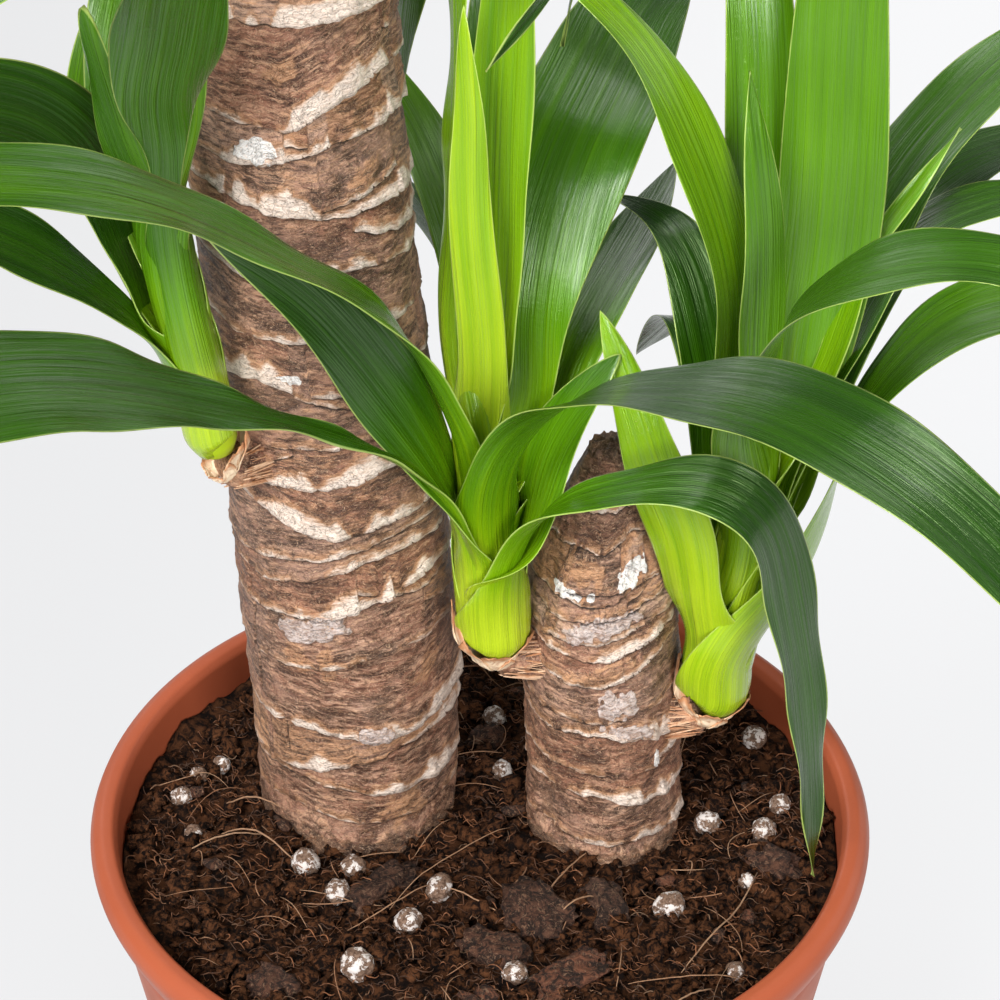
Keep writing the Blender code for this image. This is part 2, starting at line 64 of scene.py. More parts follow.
TERRACOTTA = (0.365, 0.084, 0.035)
TERRACOTTA_CLOUD = (0.290, 0.060, 0.024)
TERRACOTTA_WORN = (0.38, 0.095, 0.042)
POT_SIDES = 200


def make_piece(name, points, faces, marks, finish, slot, *nodes):
    """A smooth mesh piece on the one body, with the numbers its finish reads, in place of the CAD nodes."""
    mesh = bpy.data.meshes.new(name)
    mesh.from_pydata((np.asarray(points, float) * MM).tolist(), [], faces)
    mesh.shade_smooth()
    for label, values in marks.items():
        layer = mesh.attributes.new(label, "FLOAT_VECTOR", "POINT")
        layer.data.foreach_set("vector", np.asarray(values, np.float32).ravel())
    mesh.materials.append(finish)
    piece = bpy.data.objects.new(name, mesh)
    bpy.context.scene.collection.objects.link(piece)
    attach(piece, "root")
    if nodes:
        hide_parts(*nodes)
    return piece


def grid_faces(rows, columns, first=0, closed=True):
    """Four-sided faces between rows of points; each row closes on itself if closed."""
    last = columns if closed else columns - 1
    return [(first + r * columns + c, first + r * columns + (c + 1) % columns,
             first + (r + 1) * columns + (c + 1) % columns, first + (r + 1) * columns + c)
            for r in range(rows - 1) for c in range(last)]


def tube_faces(rows, sides):
    """Faces of a closed tube: rows of points joined all round, and a flat face on each end."""
    faces = grid_faces(rows, sides)
    faces.append(tuple(reversed(range(sides))))
    faces.append(tuple((rows - 1) * sides + k for k in range(sides)))
    return faces


def turned(profile, sides):
    """Points of a (radius, height) profile turned about the pot's axis."""
    turns = np.arange(sides) * 2 * math.pi / sides
    rows = [np.stack([r * np.cos(turns), r * np.sin(turns), np.full(sides, z)], -1) for r, z in profile]
    return np.concatenate(rows)


def rounded(profile, radius=0.8, steps=4):
    """Replace each inner corner of a profile by a short arc."""
    corners = [np.array(p, float) for p in profile]
    soft = [corners[0]]
    for before, corner, after in zip(corners, corners[1:], corners[2:]):
        reach = min(radius, 0.45 * np.linalg.norm(corner - before), 0.45 * np.linalg.norm(after - corner))
        start = corner + (before - corner) / np.linalg.norm(before - corner) * reach
        end = corner + (after - corner) / np.linalg.norm(after - corner) * reach
        for t in np.linspace(0, 1, steps):
            soft.append((1 - t) ** 2 * start + 2 * t * (1 - t) * corner + t ** 2 * end)
    return soft + [corners[-1]]


def new_finish(name, color, roughness):
    """A material with its node tree and shader."""
    finish = bpy.data.materials.new(name)
    finish.use_nodes = True
    tree = finish.node_tree
    shader = tree.nodes["Principled BSDF"]
    shader.inputs["Base Color"].default_value = (*color, 1)
    shader.inputs["Roughness"].default_value = roughness
    return finish, tree, shader


def put(tree, socket, value):
    """Link a socket to a socket, or set it to a number or colour."""
    if isinstance(value, bpy.types.NodeSocket):
        tree.links.new(value, socket)
    elif isinstance(value, tuple):
        socket.default_value = (*value, 1) if len(socket.default_value) == 4 else value
    else:
        socket.default_value = value


def mark(tree, label):
    """The three numbers stored at each point of the mesh under a label, as one vector."""
    reader = tree.nodes.new("ShaderNodeAttribute")
    reader.attribute_name = label
    return reader.outputs["Vector"]


def split(tree, vector):
    """The three numbers of a vector."""
    parts = tree.nodes.new("ShaderNodeSeparateXYZ")
    tree.links.new(vector, parts.inputs[0])
    return parts.outputs[0], parts.outputs[1], parts.outputs[2]


def object_place(tree):
    """The place on the object, in metres."""
    return tree.nodes.new("ShaderNodeTexCoord").outputs["Object"]


def stretched(tree, place, x, y, z):
    """The place scaled along each of its directions."""
    scaled = tree.nodes.new("ShaderNodeVectorMath")
    scaled.operation = "MULTIPLY"
    tree.links.new(place, scaled.inputs[0])
    scaled.inputs[1].default_value = (x, y, z)
    return scaled.outputs[0]


def mottle(tree, place, scale, detail=3.0, rough=0.55, distortion=0.0):
    """Soft random variation from 0 to 1."""
    texture = tree.nodes.new("ShaderNodeTexNoise")
    tree.links.new(place, texture.inputs["Vector"])
    texture.inputs["Scale"].default_value = scale
    texture.inputs["Detail"].default_value = detail
    texture.inputs["Roughness"].default_value = rough
    texture.inputs["Distortion"].default_value = distortion
    return texture.outputs["Fac"]


def ranged(tree, value, low, high, to_low=0.0, to_high=1.0):
    """Map a value from one range to another with soft ends."""
    ramp = tree.nodes.new("ShaderNodeMapRange")
    ramp.interpolation_type = "SMOOTHSTEP"
    tree.links.new(value, ramp.inputs["Value"])
    ramp.inputs["From Min"].default_value = low
    ramp.inputs["From Max"].default_value = high
    ramp.inputs["To Min"].default_value = to_low
    ramp.inputs["To Max"].default_value = to_high
    return ramp.outputs["Result"]


def sums(tree, operation, first, second):
    """One step of arithmetic."""
    step = tree.nodes.new("ShaderNodeMath")
    step.operation = operation
    put(tree, step.inputs[0], first)
    put(tree, step.inputs[1], second)
    return step.outputs[0]


def layered(tree, amount, under, over):
    """One colour laid over another by an amount from 0 to 1."""
    mix = tree.nodes.new("ShaderNodeMix")
    mix.data_type = "RGBA"
    put(tree, mix.inputs[0], amount)
    put(tree, mix.inputs[6], under)
    put(tree, mix.inputs[7], over)
    return mix.outputs[2]


def relief(tree, shader, height, depth_mm, under=None):
    """Surface relief of a depth in millimetres, over an earlier relief if there is one."""
    bump = tree.nodes.new("ShaderNodeBump")
    bump.inputs["Strength"].default_value = 1.0
    bump.inputs["Distance"].default_value = depth_mm * MM
    tree.links.new(height, bump.inputs["Height"])
    if under:
        tree.links.new(under, bump.inputs["Normal"])
    tree.links.new(bump.outputs["Normal"], shader.inputs["Normal"])
    return bump.outputs["Normal"]


def pot_plastic():
    """Moulded plastic, slightly clouded, dulled by fine scuffs, with a faint grain."""
    finish, tree, shader = new_finish("terracotta plastic", TERRACOTTA, 0.42)
    place = object_place(tree)
    cloud = mottle(tree, place, 28, 4)
    scuff = ranged(tree, mottle(tree, stretched(tree, place, 1, 1, 5), 160, 5, 0.7), 0.60, 0.74)
    color = layered(tree, ranged(tree, cloud, 0.3, 0.7, 0.0, 0.35), TERRACOTTA, TERRACOTTA_CLOUD)
    color = layered(tree, sums(tree, "MULTIPLY", scuff, 0.35), color, TERRACOTTA_WORN)
    put(tree, shader.inputs["Base Color"], color)
    put(tree, shader.inputs["Roughness"], ranged(tree, cloud, 0.3, 0.7, 0.42, 0.55))
    shader.inputs["Specular IOR Level"].default_value = 0.28
    relief(tree, shader, mottle(tree, place, 900, 2), 0.05)
    return finish


pot_outside = [
    (0, 0), (WALL_FOOT_RADIUS - 2, 0), (WALL_FOOT_RADIUS, 2), (WALL_TOP_RADIUS, RIM_TOP - 22),
    (WALL_TOP_RADIUS + 0.4, RIM_TOP - 13.5), (RIM_OUT - 2.6, RIM_TOP - 12.5), (RIM_OUT - 1.0, RIM_TOP - 8.5),
    (RIM_OUT - 0.1, RIM_TOP - 6), (RIM_OUT, RIM_TOP - 4), (RIM_OUT - 1, RIM_TOP - 1.6),
    (RIM_OUT - 3.2, RIM_TOP - 0.1), (RIM_IN + 1.4, RIM_TOP - 0.3), (RIM_IN, RIM_TOP - 2.6),
]
pot_inside = [
    (RIM_IN - 0.3, RIM_TOP - 10), (WALL_TOP_RADIUS - WALL_THICK, RIM_TOP - 24),
    (WALL_FOOT_RADIUS - WALL_THICK, FLOOR_THICK + 1), (WALL_FOOT_RADIUS - WALL_THICK - 2, FLOOR_THICK),
    (0, FLOOR_THICK),
]
pot_profile = rounded(pot_outside + pot_inside)
pot_profile[0] = np.array((0.01, 0))
pot_profile[-1] = np.array((0.01, FLOOR_THICK))
make_piece("pot_shell", turned(pot_profile, POT_SIDES), tube_faces(len(pot_profile), POT_SIDES), {},
           pot_plastic(), "pot_plastic", "pot")


# The soil
# Dark peat mix, packed into the pot round the canes in one mass. Its top is lumpy and uneven, and
# lies a little below the rim.
SOIL_TOP = 158
SOIL_EDGE = RIM_IN - 0.9
SOIL_FLOOR = FLOOR_THICK + 0.3
SOIL_GAP = 0.5                # between the peat and the pot's wall
BED_RINGS = 84
BED_SIDES = 330
# Peat: its dark, which is also painted shade in the hollows of its relief, its brown, and rusty specks that
# are partly painted glints
PEAT_DARK_AND_SHADE = (0.005, 0.0026, 0.0018)
PEAT_BROWN = (0.058, 0.0222, 0.0090)
PEAT_SPECK_AND_GLINT = (0.150, 0.058, 0.024)


def soil_height(x, y):
    """Uneven top of the soil, as in the CAD part."""
    wave = 1.5 * math.sin(x / 11 + 1) * math.cos(y / 13) + 1.0 * math.sin(x / 5.5 - y / 7)
    return SOIL_TOP + wave + 0.9 * math.cos(y / 4.6 + x / 19)


def peat(name, scale, dark, brown):
    """Rough peat, dark and brown in patches of a scale, with rusty specks; partly painted shade and glints.
    """
    finish, tree, shader = new_finish(name, brown, 0.95)
    shader.inputs["Specular IOR Level"].default_value = 0.1
    place = object_place(tree)
    fine = mottle(tree, place, scale, 6, 0.7, 0.6)
    speck = ranged(tree, mottle(tree, place, scale * 3.1, 4, 0.65, 0.4), 0.60, 0.72)
    # The dark lies in the hollows of the relief below, so it is partly painted shade
    color = layered(tree, ranged(tree, fine, 0.42, 0.60), dark, brown)
    # The rusty specks are partly painted glints
    color = layered(tree, sums(tree, "MULTIPLY", speck, 0.6), color, PEAT_SPECK_AND_GLINT)
    put(tree, shader.inputs["Base Color"], color)
    relief(tree, shader, fine, 1.4)
    return finish


bed_points = []
for ring in range(BED_RINGS + 1):
    radius = max(0.05, SOIL_EDGE * ring / BED_RINGS)
    for k in range(BED_SIDES):
        turn = 2 * math.pi * k / BED_SIDES
        x, y = radius * math.cos(turn), radius * math.sin(turn)
        spot = Vector((x, y, 0))
        bump = 2.0 * noise.noise(spot / 9) + 1.5 * noise.noise(spot / 3.6) + 0.8 * noise.noise(spot / 1.6)
        bed_points.append((x, y, soil_height(x, y) - 0.8 + bump))
bed_wall = [(WALL_TOP_RADIUS - WALL_THICK - SOIL_GAP, RIM_TOP - 22),
            (WALL_FOOT_RADIUS - WALL_THICK - SOIL_GAP, SOIL_FLOOR)]
for radius, z in bed_wall:
    for k in range(BED_SIDES):
        turn = 2 * math.pi * k / BED_SIDES
        bed_points.append((radius * math.cos(turn), radius * math.sin(turn), z))
bed_faces = [tuple(reversed(face)) for face in tube_faces(BED_RINGS + 3, BED_SIDES)]
make_piece("soil_bed", bed_points, bed_faces, {}, peat("peat bed", 330, PEAT_DARK_AND_SHADE, PEAT_BROWN),
           "potting_soil", "soil")


# The crumbs
# Clods and crumbs of the same peat, which lie loose on the bed. Most are small, and each is a ragged,
# squashed ball.
CRUMB_COUNT = 1750
# Crumbs: their dark, which is also painted shade in their hollows, and their brown
CRUMB_DARK_AND_SHADE = (0.006, 0.0028, 0.0018)
CRUMB_BROWN = (0.096, 0.037, 0.015)
# Where the canes stand, which loose bits keep clear of: x, y, radius
CANE_FEET = [(-33, 22, 27), (34, 10, 21)]
soil_rng = random.Random(41)
balls = {}


def soil_spot(rng, edge=0.97):
    """A random spot on the soil that isn't under a cane."""
    while True:
        r, turn = SOIL_EDGE * edge * math.sqrt(rng.random()), rng.uniform(0, 2 * math.pi)
        x, y = r * math.cos(turn), r * math.sin(turn)
        if all(math.hypot(x - cx, y - cy) > radius for cx, cy, radius in CANE_FEET):
            return x, y


def unit_ball(fineness):
    """Points and triangles of a ball of radius 1, made once for each fineness."""
    if fineness not in balls:
        shape = bmesh.new()
        bmesh.ops.create_icosphere(shape, subdivisions=fineness, radius=1)
        shape.verts.ensure_lookup_table()
        balls[fineness] = ([v.co.copy() for v in shape.verts],
                           [tuple(v.index for v in f.verts) for f in shape.faces])
        shape.free()
    return balls[fineness]


def lump(radii, place, turn, rough, fineness, rng):
    """Points and faces of a rough lump: a squashed ball pushed in and out by noise."""
    ball_points, ball_faces = unit_ball(fineness)
    spin = Matrix.Rotation(turn, 3, "Z") @ Matrix.Rotation(rng.uniform(-0.5, 0.5), 3, "X")
    shift = Vector([rng.uniform(-50, 50) for _ in range(3)])
    points = []
    for p in ball_points:
        swell = 1 + rough * noise.noise(p * 1.7 + shift) + 0.5 * rough * noise.noise(p * 4.1 - shift)
        q = spin @ Vector([p[k] * radii[k] * swell for k in range(3)])
        points.append((q.x + place[0], q.y + place[1], q.z + place[2]))
    return points, ball_faces


def gather(parts):
    """Join (points, faces, marks) parts. A part's marks are one tuple for it all or one for each point."""
    points, faces, marks = [], [], []
    for part_points, part_faces, part_marks in parts:
        first = len(points)
        points += list(part_points)
        faces += [tuple(first + i for i in face) for face in part_faces]
        marks += [part_marks] * len(part_points) if isinstance(part_marks, tuple) else list(part_marks)
    return points, faces, marks


def strew(name, parts, finish, label=None):
    """Join loose bits on the soil into one piece. The label names the marks that its finish reads."""
    points, faces, marks = gather(parts)
    make_piece(name, points, faces, {label: marks} if label else {}, finish, "potting_soil")


crumbs = []
for k in range(CRUMB_COUNT):
    x, y = soil_spot(soil_rng)
    size = 0.7 + 2.3 * soil_rng.random() ** 2.6
    rise = soil_height(x, y) + 0.2 + size * 0.35
    shape = [size * soil_rng.uniform(0.8, 1.4), size * soil_rng.uniform(0.7, 1.1), size * 0.75]
    turn = soil_rng.uniform(0, 6.3)
    crumbs.append((*lump(shape, (x, y, rise), turn, rough=0.95, fineness=2, rng=soil_rng), (0, 0, 0)))
strew("soil_crumbs", crumbs, peat("peat crumbs", 520, CRUMB_DARK_AND_SHADE, CRUMB_BROWN))


# The coir and straw
# Curly brown coconut fibres mixed into the peat, and pale straws that fell on it. They lie loose
# among the crumbs and over them.
COIR = (0.290, 0.108, 0.040)
COIR_DARK = (0.030, 0.0125, 0.0060)
COIR_GRAIN = (0.10, 0.05, 0.025)
STRAW = (0.31, 0.185, 0.105)
FIBRE_COUNT = 3000
LOOSE_STRAWS = 70
# Long straws: start x, y and end x, y, and the lift of the middle
STRAWS = [(52, -54, 74, -18, 3), (38, -60, 68, -58, 2), (-24, -32, 8, -2, 4), (-12, -22, -36, -40, 2),
          (-11, -24, 6, -32, 2), (-72, -2, -49, -12, 3), (-48, -24, -26, -30, 1), (30, -8, 14, -40, 3),
          (-80, -8, -58, -2, 3), (-70, 12, -52, 6, 5), (46, -70, 60, -62, 2), (18, -38, 34, -26, 3)]


def fibre_finish():
    """Dry fibre, dark to brown, or straw where its mark says so."""
    finish, tree, shader = new_finish("coir and straw", COIR, 0.8)
    brown, strawy = split(tree, mark(tree, "fibre"))[:2]
    color = layered(tree, brown, COIR_DARK, COIR)
    color = layered(tree, strawy, color, STRAW)
    grain = mottle(tree, object_place(tree), 900, 3)
    color = layered(tree, ranged(tree, grain, 0.35, 0.7, 0.0, 0.45), color, COIR_GRAIN)
    put(tree, shader.inputs["Base Color"], color)
    return finish


def thread(way, thick, sides, flat=1.0):
    """Points and faces of a thread along a list of points, flattened to a share of its thickness."""
    way = np.asarray(way, float)
    along = np.gradient(way, axis=0)
    along /= np.linalg.norm(along, axis=1)[:, None] + 1e-9
    side = np.cross(along, (0.13, 0.27, 0.95))
    side /= np.linalg.norm(side, axis=1)[:, None] + 1e-9
    top = np.cross(side, along)
    share = np.linspace(0, 1, len(way))
    radius = thick / 2 * (0.35 + 0.65 * np.sin(math.pi * np.clip(share * 0.96 + 0.02, 0, 1)) ** 0.5)
    points = []
    for i in range(len(way)):
        for k in range(sides):
            turn = 2 * math.pi * k / sides
            points.append(way[i] + radius[i] * (side[i] * math.cos(turn) + top[i] * math.sin(turn) * flat))
    return points, tube_faces(len(way), sides)


def curly_fibre(rng):
    """The way of a short curly fibre on the soil."""
    x, y = soil_spot(rng, 0.95)
    heading, bend = rng.uniform(0, 6.3), rng.uniform(-0.3, 0.3)
    step = rng.uniform(0.4, 1.2)
    way = []
    z = soil_height(x, y) + rng.uniform(0.2, 2.6)
    for k in range(7):
        way.append((x, y, z + 0.9 * math.sin(k * 0.8 + heading)))
        heading += bend + rng.uniform(-0.5, 0.5)
        x += step * math.cos(heading)
        y += step * math.sin(heading)
    return way


def long_straw(straw, rng):
    """The way of a long straw that lies bowed over the crumbs."""
    x0, y0, x1, y1, lift = straw
    way = []
    bow = rng.uniform(-3, 3)
    for t in np.linspace(0, 1, 14):
        x = x0 + (x1 - x0) * t - bow * math.sin(math.pi * t) * (y1 - y0) / 30
        y = y0 + (y1 - y0) * t + bow * math.sin(math.pi * t) * (x1 - x0) / 30
        z = soil_height(x, y) + 2.0 + lift * math.sin(math.pi * t) + rng.uniform(-0.2, 0.2)
        way.append((x, y, z))
    return way


def loose_straw(rng):
    """The way of a short straw anywhere on the soil, as far as the soil's edge."""
    x, y = soil_spot(rng, 0.92)
    heading, length = rng.uniform(0, 6.3), rng.uniform(6, 20)
    bend = rng.uniform(-0.9, 0.9)
    way = []
    for t in np.linspace(0, 1, 9):
        px = x + length * t * math.cos(heading + bend * t)
        py = y + length * t * math.sin(heading + bend * t)
        if math.hypot(px, py) > SOIL_EDGE * 0.96:
            break
        way.append((px, py, soil_height(px, py) + 1.6 + 1.8 * math.sin(math.pi * t)))
    return way


fibres = []
for k in range(FIBRE_COUNT):
    fibre = thread(curly_fibre(soil_rng), soil_rng.uniform(0.14, 0.44), sides=3)
    fibres.append((*fibre, (soil_rng.random() ** 1.6, 0.5 * (soil_rng.random() > 0.93), 0)))
for straw in STRAWS:
    fibre = thread(long_straw(straw, soil_rng), soil_rng.uniform(0.32, 0.55), sides=5)
    fibres.append((*fibre, (1, soil_rng.uniform(0.6, 1), 0)))
for k in range(LOOSE_STRAWS):
    way = loose_straw(soil_rng)
    if len(way) > 3:
        fibre = thread(way, soil_rng.uniform(0.2, 0.42), sides=4)
        fibres.append((*fibre, (0.8, soil_rng.uniform(0.3, 0.9), 0)))
strew("soil_fibres", fibres, fibre_finish(), "fibre")


# The bark chips
# Broken pieces of composted bark, rounded at their ends and fibrous, some of them reddish. The large
# ones lie half sunk in the peat, and small flakes lie between them.
CHIP_BROWN = (0.09, 0.045, 0.028)
CHIP_PLAIN = (0.095, 0.044, 0.026)
CHIP_RED = (0.190, 0.068, 0.034)
CHIP_DARK = (0.018, 0.0085, 0.0055)
CHIP_FLAKE = (0.26, 0.150, 0.090)
SMALL_CHIPS = 26
# Large chips: x, y, turn in degrees, length, width, height, redness
CHIPS = [(-26, -20, 52, 26, 10, 8, 0.1), (4, -44, -34, 22, 12, 9, 0.3), (24, -56, 31, 24, 13, 9, 0.8),
         (33, -29, -73, 19, 11, 10, 0.0), (15, -31, -50, 22, 15, 11, 0.2), (78, -12, -39, 18, 10, 8, 0.2),
         (-53, -57, -30, 16, 12, 8, 0.3), (2, 44, 46, 13, 8, 7, 0.3)]


def chip_finish():
    """Old bark: dark grooves between brown or reddish fibres, with pale flakes."""
    finish, tree, shader = new_finish("bark chip", CHIP_BROWN, 0.85)
    shader.inputs["Specular IOR Level"].default_value = 0.3
    red = split(tree, mark(tree, "chip"))[0]
    place = object_place(tree)
    grain = mottle(tree, place, 330, 6, 0.72, 1.2)
    reddish = layered(tree, red, CHIP_PLAIN, CHIP_RED)
    color = layered(tree, ranged(tree, grain, 0.42, 0.60), CHIP_DARK, reddish)
    flake = ranged(tree, mottle(tree, place, 560, 5, 0.75, 1.5), 0.55, 0.62)
    color = layered(tree, sums(tree, "MULTIPLY", flake, 0.7), color, CHIP_FLAKE)
    put(tree, shader.inputs["Base Color"], color)
    relief(tree, shader, grain, 2.4)
    return finish


def large_chip(chip, rng):
    """A large chip: a long block with blunt ends and a ragged, layered skin."""
    x, y, turn, length, width, height, red = chip
    spin = Matrix.Rotation(math.radians(turn), 3, "Z") @ Matrix.Rotation(0.16 * math.sin(turn), 3, "Y")
    ball_points, ball_faces = unit_ball(4)
    shift = Vector([rng.uniform(-30, 30) for _ in range(3)])
    points = []
    for p in ball_points:
        square = Vector([math.copysign(abs(c) ** 0.74, c) for c in p])
        layers = 0.10 * noise.noise(Vector((square.x * 1.2, square.y * 6, square.z * 7)) + shift)
        swell = 1 + 0.34 * noise.noise(p * 1.6 + shift) + layers + 0.16 * noise.noise(p * 6 + shift)
        swell += 0.07 * noise.noise(p * 15 + shift)
        q = spin @ Vector((square.x * length / 2.1, square.y * width / 2.1, square.z * height / 2.1)) * swell
        points.append((q.x + x, q.y + y, q.z + soil_height(x, y) + 0.04 * height))
    return points, ball_faces, (red, 0, 0)


def small_chip(rng):
    """A small flake of bark anywhere on the soil."""
    x, y = soil_spot(rng, 0.9)
    turn = rng.uniform(0, 180)
    shape = [rng.uniform(4, 9) / 2, rng.uniform(2.5, 5) / 2, 1.4]
    red = rng.random()
    place = (x, y, soil_height(x, y) + 1.2)
    return (*lump(shape, place, turn, rough=0.5, fineness=2, rng=rng), (red, 0, 0))


chips = [large_chip(chip, soil_rng) for chip in CHIPS]
chips += [small_chip(soil_rng) for k in range(SMALL_CHIPS)]
strew("soil_bark_chips", chips, chip_finish(), "chip")


# The clay beads
# Small fired balls of clay that keep the peat open. Their skin is pale where it is worn and brown
# where peat sticks to it, and they lie where the mix left them.
BEAD_PALE = (0.60, 0.545, 0.51)
BEAD_BROWN = (0.085, 0.047, 0.030)
BEAD_TAN = (0.20, 0.125, 0.085)
# x, y, radius
BEADS = [(-47, -11, 4.2), (-34, -13, 3.4), (-38, -24, 3.6), (-11, -24, 4.0), (-19, -36, 3.8),
         (-32, -54, 4.6), (9, -54, 3.4), (50, -31, 4.4), (77, -1, 3.6), (62, 5, 3.6), (-78, 3, 2.6),
         (-82, 15, 3.0), (-78, 24, 2.7), (-72, 31, 2.6), (4, 51, 3.6), (6, 27, 3.2), (82, 9, 3.0),
         (71, -20, 2.7), (77, 40, 3.6), (66, -54, 2.8), (-50, 60, 3.4), (20, 70, 3.0), (-15, 78, 3.6)]


def bead_finish():
    """Fired clay with patches of brown, pitted all over."""
    finish, tree, shader = new_finish("clay bead", BEAD_PALE, 0.85)
    shader.inputs["Specular IOR Level"].default_value = 0.25
    place = object_place(tree)
    patch = mottle(tree, place, 330, 5, 0.75, 0.3)
    speck = mottle(tree, place, 1300, 3, 0.6)
    color = layered(tree, ranged(tree, speck, 0.35, 0.65), BEAD_BROWN, BEAD_TAN)
    color = layered(tree, ranged(tree, patch, 0.50, 0.56), color, BEAD_PALE)
    put(tree, shader.inputs["Base Color"], color)
    first = relief(tree, shader, patch, 0.35)
    relief(tree, shader, speck, 0.12, first)
    return finish


beads = []
for x, y, radius in BEADS:
    shape = [radius, radius * soil_rng.uniform(0.85, 1), radius * 0.92]
    place = (x, y, soil_height(x, y) + 0.35 * radius)
    turn = soil_rng.uniform(0, 6)
    beads.append((*lump(shape, place, turn, rough=0.16, fineness=4, rng=soil_rng), (0, 0, 0)))
strew("soil_clay_beads", beads, bead_finish())


# The canes
# Two lengths of rooted trunk. Each is grown wood under dry bark, ringed by the scars of old leaves:
# every plate of bark ends below in a torn, pale lip that stands proud of the plate under it.
# Points of each middle line (x, y, z) with the radius there, as in the CAD part
TALL_CANE = [(-33, 22, 158, 26.5), (-35, 22, 223, 28.3), (-38, 22, 280, 27.2), (-41, 22, 317, 27),
             (-45, 22, 396, 26), (-48, 22, 470, 25), (-50, 22, 548, 24)]
SHORT_CANE = [(34, 10, 158, 20.5), (32, 10, 215, 20.5), (31.5, 10, 240, 19.6), (32, 10, 253, 16.8),
              (33, 10, 264, 12.5), (34.5, 10, 280, 6.8)]
CANE_FOOT = 70.3              # height of a cane's buried end
# A lip: its height at LIP_TURNS in degrees, the thickness of its pale edge there, and the look of the
# plate above it as warmth (grey 0, red 1), lightness and gold
LIP_TURNS = (-150, -120, -90, -60, -30, 90)
TALL_LIPS = [
    ((170, 171, 169, 168, 168, 169), (0.2, 0.2, 0.3, 0.2, 0.3, 0.3), (0.5, 0.45, 0.3)),
    ((181.5, 181, 180, 177, 176.5, 176), (0.3, 0.4, 0.5, 2.6, 2.0, 0.5), (0.6, 0.45, 0.2)),
    ((183.4, 184.5, 188, 192.5, 193, 191), (1.0, 3.2, 0.9, 1.6, 1.6, 0.6), (0.4, 0.5, 0.7)),
    ((199, 200.5, 198, 196, 199, 203), (0.4, 2.8, 3.2, 3.0, 3.0, 0.5), (0.65, 0.5, 0.15)),
    ((219, 221, 223, 225, 226, 221), (0.3, 0.4, 0.8, 0.8, 0.7, 0.5), (0.45, 0.5, 0.2)),
    ((235.5, 238, 239, 242, 247, 240), (0.5, 0.4, 2.8, 3.6, 3.2, 1.0), (1.0, 0.30, 0.15)),
    ((246, 247.5, 252, 255, 256, 252), (0.2, 0.3, 1.3, 1.2, 0.8, 0.5), (0.35, 0.35, 0.1)),
    ((251.5, 254.5, 257, 259.5, 262, 261), (0.4, 0.6, 0.6, 0.6, 0.6, 0.6), (0.15, 0.42, 0.0)),
    ((272, 268.5, 263, 264.5, 266.5, 272), (0.8, 2.4, 3.4, 3.0, 1.2, 0.8), (0.45, 0.18, 0.3)),
    ((275, 277.5, 278, 281, 285, 281), (0.4, 2.0, 3.6, 3.4, 1.6, 0.6), (0.5, 0.28, 0.4)),
    ((286, 289, 290, 293, 295, 290), (0.3, 0.5, 0.8, 1.0, 0.8, 0.4), (0.3, 0.35, 0.2)),
    ((308, 309.5, 305.5, 305.5, 307, 301), (1.0, 3.8, 4.4, 3.4, 2.0, 0.8), (0.6, 0.4, 0.3)),
    ((324, 321, 322, 325, 323, 318), (0.6, 1.0, 1.8, 2.6, 0.8, 0.5), (0.4, 0.45, 0.2)),
    ((341, 338, 340, 342, 339, 336), (0.8, 1.2, 2.6, 1.6, 0.8, 1.2), (0.5, 0.35, 0.2)),
    ((361, 360, 357.5, 355.5, 356.5, 352), (1.5, 3.4, 5.0, 4.6, 3.6, 0.8), (0.25, 0.5, 0.4)),
    ((369, 370, 372.5, 378, 378.5, 368), (0.5, 1.2, 4.2, 4.4, 2.8, 0.6), (0.3, 0.7, 0.3)),
    ((382, 382, 381, 387.5, 391, 385), (0.6, 1.0, 3.0, 3.0, 2.6, 0.8), (0.8, 0.5, 0.35)),
    ((409, 409.5, 408, 408, 408, 402), (6, 9, 9, 9, 7, 2), (0.4, 0.9, 0.5)),
]
SHORT_LIPS = [
    ((168, 166, 165, 166, 164, 165), (0.3, 0.3, 0.8, 1.8, 2.0, 0.4), (0.5, 0.4, 0.1)),
    ((183, 181.5, 182, 177.5, 176, 178), (0.3, 0.5, 2.6, 3.4, 1.0, 0.4), (0.8, 0.35, 0.2)),
    ((191, 190, 188.5, 187, 190, 192), (0.2, 0.3, 0.4, 1.4, 1.6, 0.8), (0.8, 0.30, 0.1)),
    ((202, 202, 202, 199.5, 196, 201), (0.4, 0.8, 3.6, 4.4, 2.6, 0.5), (0.5, 0.5, 0.1)),
    ((208, 207.5, 207, 208, 209, 211), (0.4, 0.5, 0.6, 0.6, 0.5, 0.4), (0.3, 0.45, 0.1)),
    ((222, 220.5, 218, 222, 228, 220), (0.4, 0.5, 0.6, 0.8, 0.6, 0.4), (0.75, 0.3, 0.2)),
    ((229, 228, 226, 229, 233, 230), (0.4, 0.8, 2.4, 2.6, 0.8, 0.4), (0.5, 0.5, 0.1)),
    ((233, 232, 232, 235, 238, 238), (0.2, 0.4, 0.5, 0.6, 0.5, 0.4), (0.1, 0.75, 0.0)),
    ((246, 244.5, 243.5, 247.5, 250, 247), (0.3, 0.6, 0.5, 0.6, 0.5, 0.6), (0.5, 0.40, 0.9)),
    ((259, 258.5, 257.5, 262, 262, 257), (0.4, 0.3, 0.3, 0.4, 0.5, 0.4), (0.5, 0.1, 0.1)),
    ((268, 267, 268, 269, 267, 267), (0.1, 0.8, 0.9, 0.1, 0.1, 0.2), (0.5, 0.35, 0.1)),
]
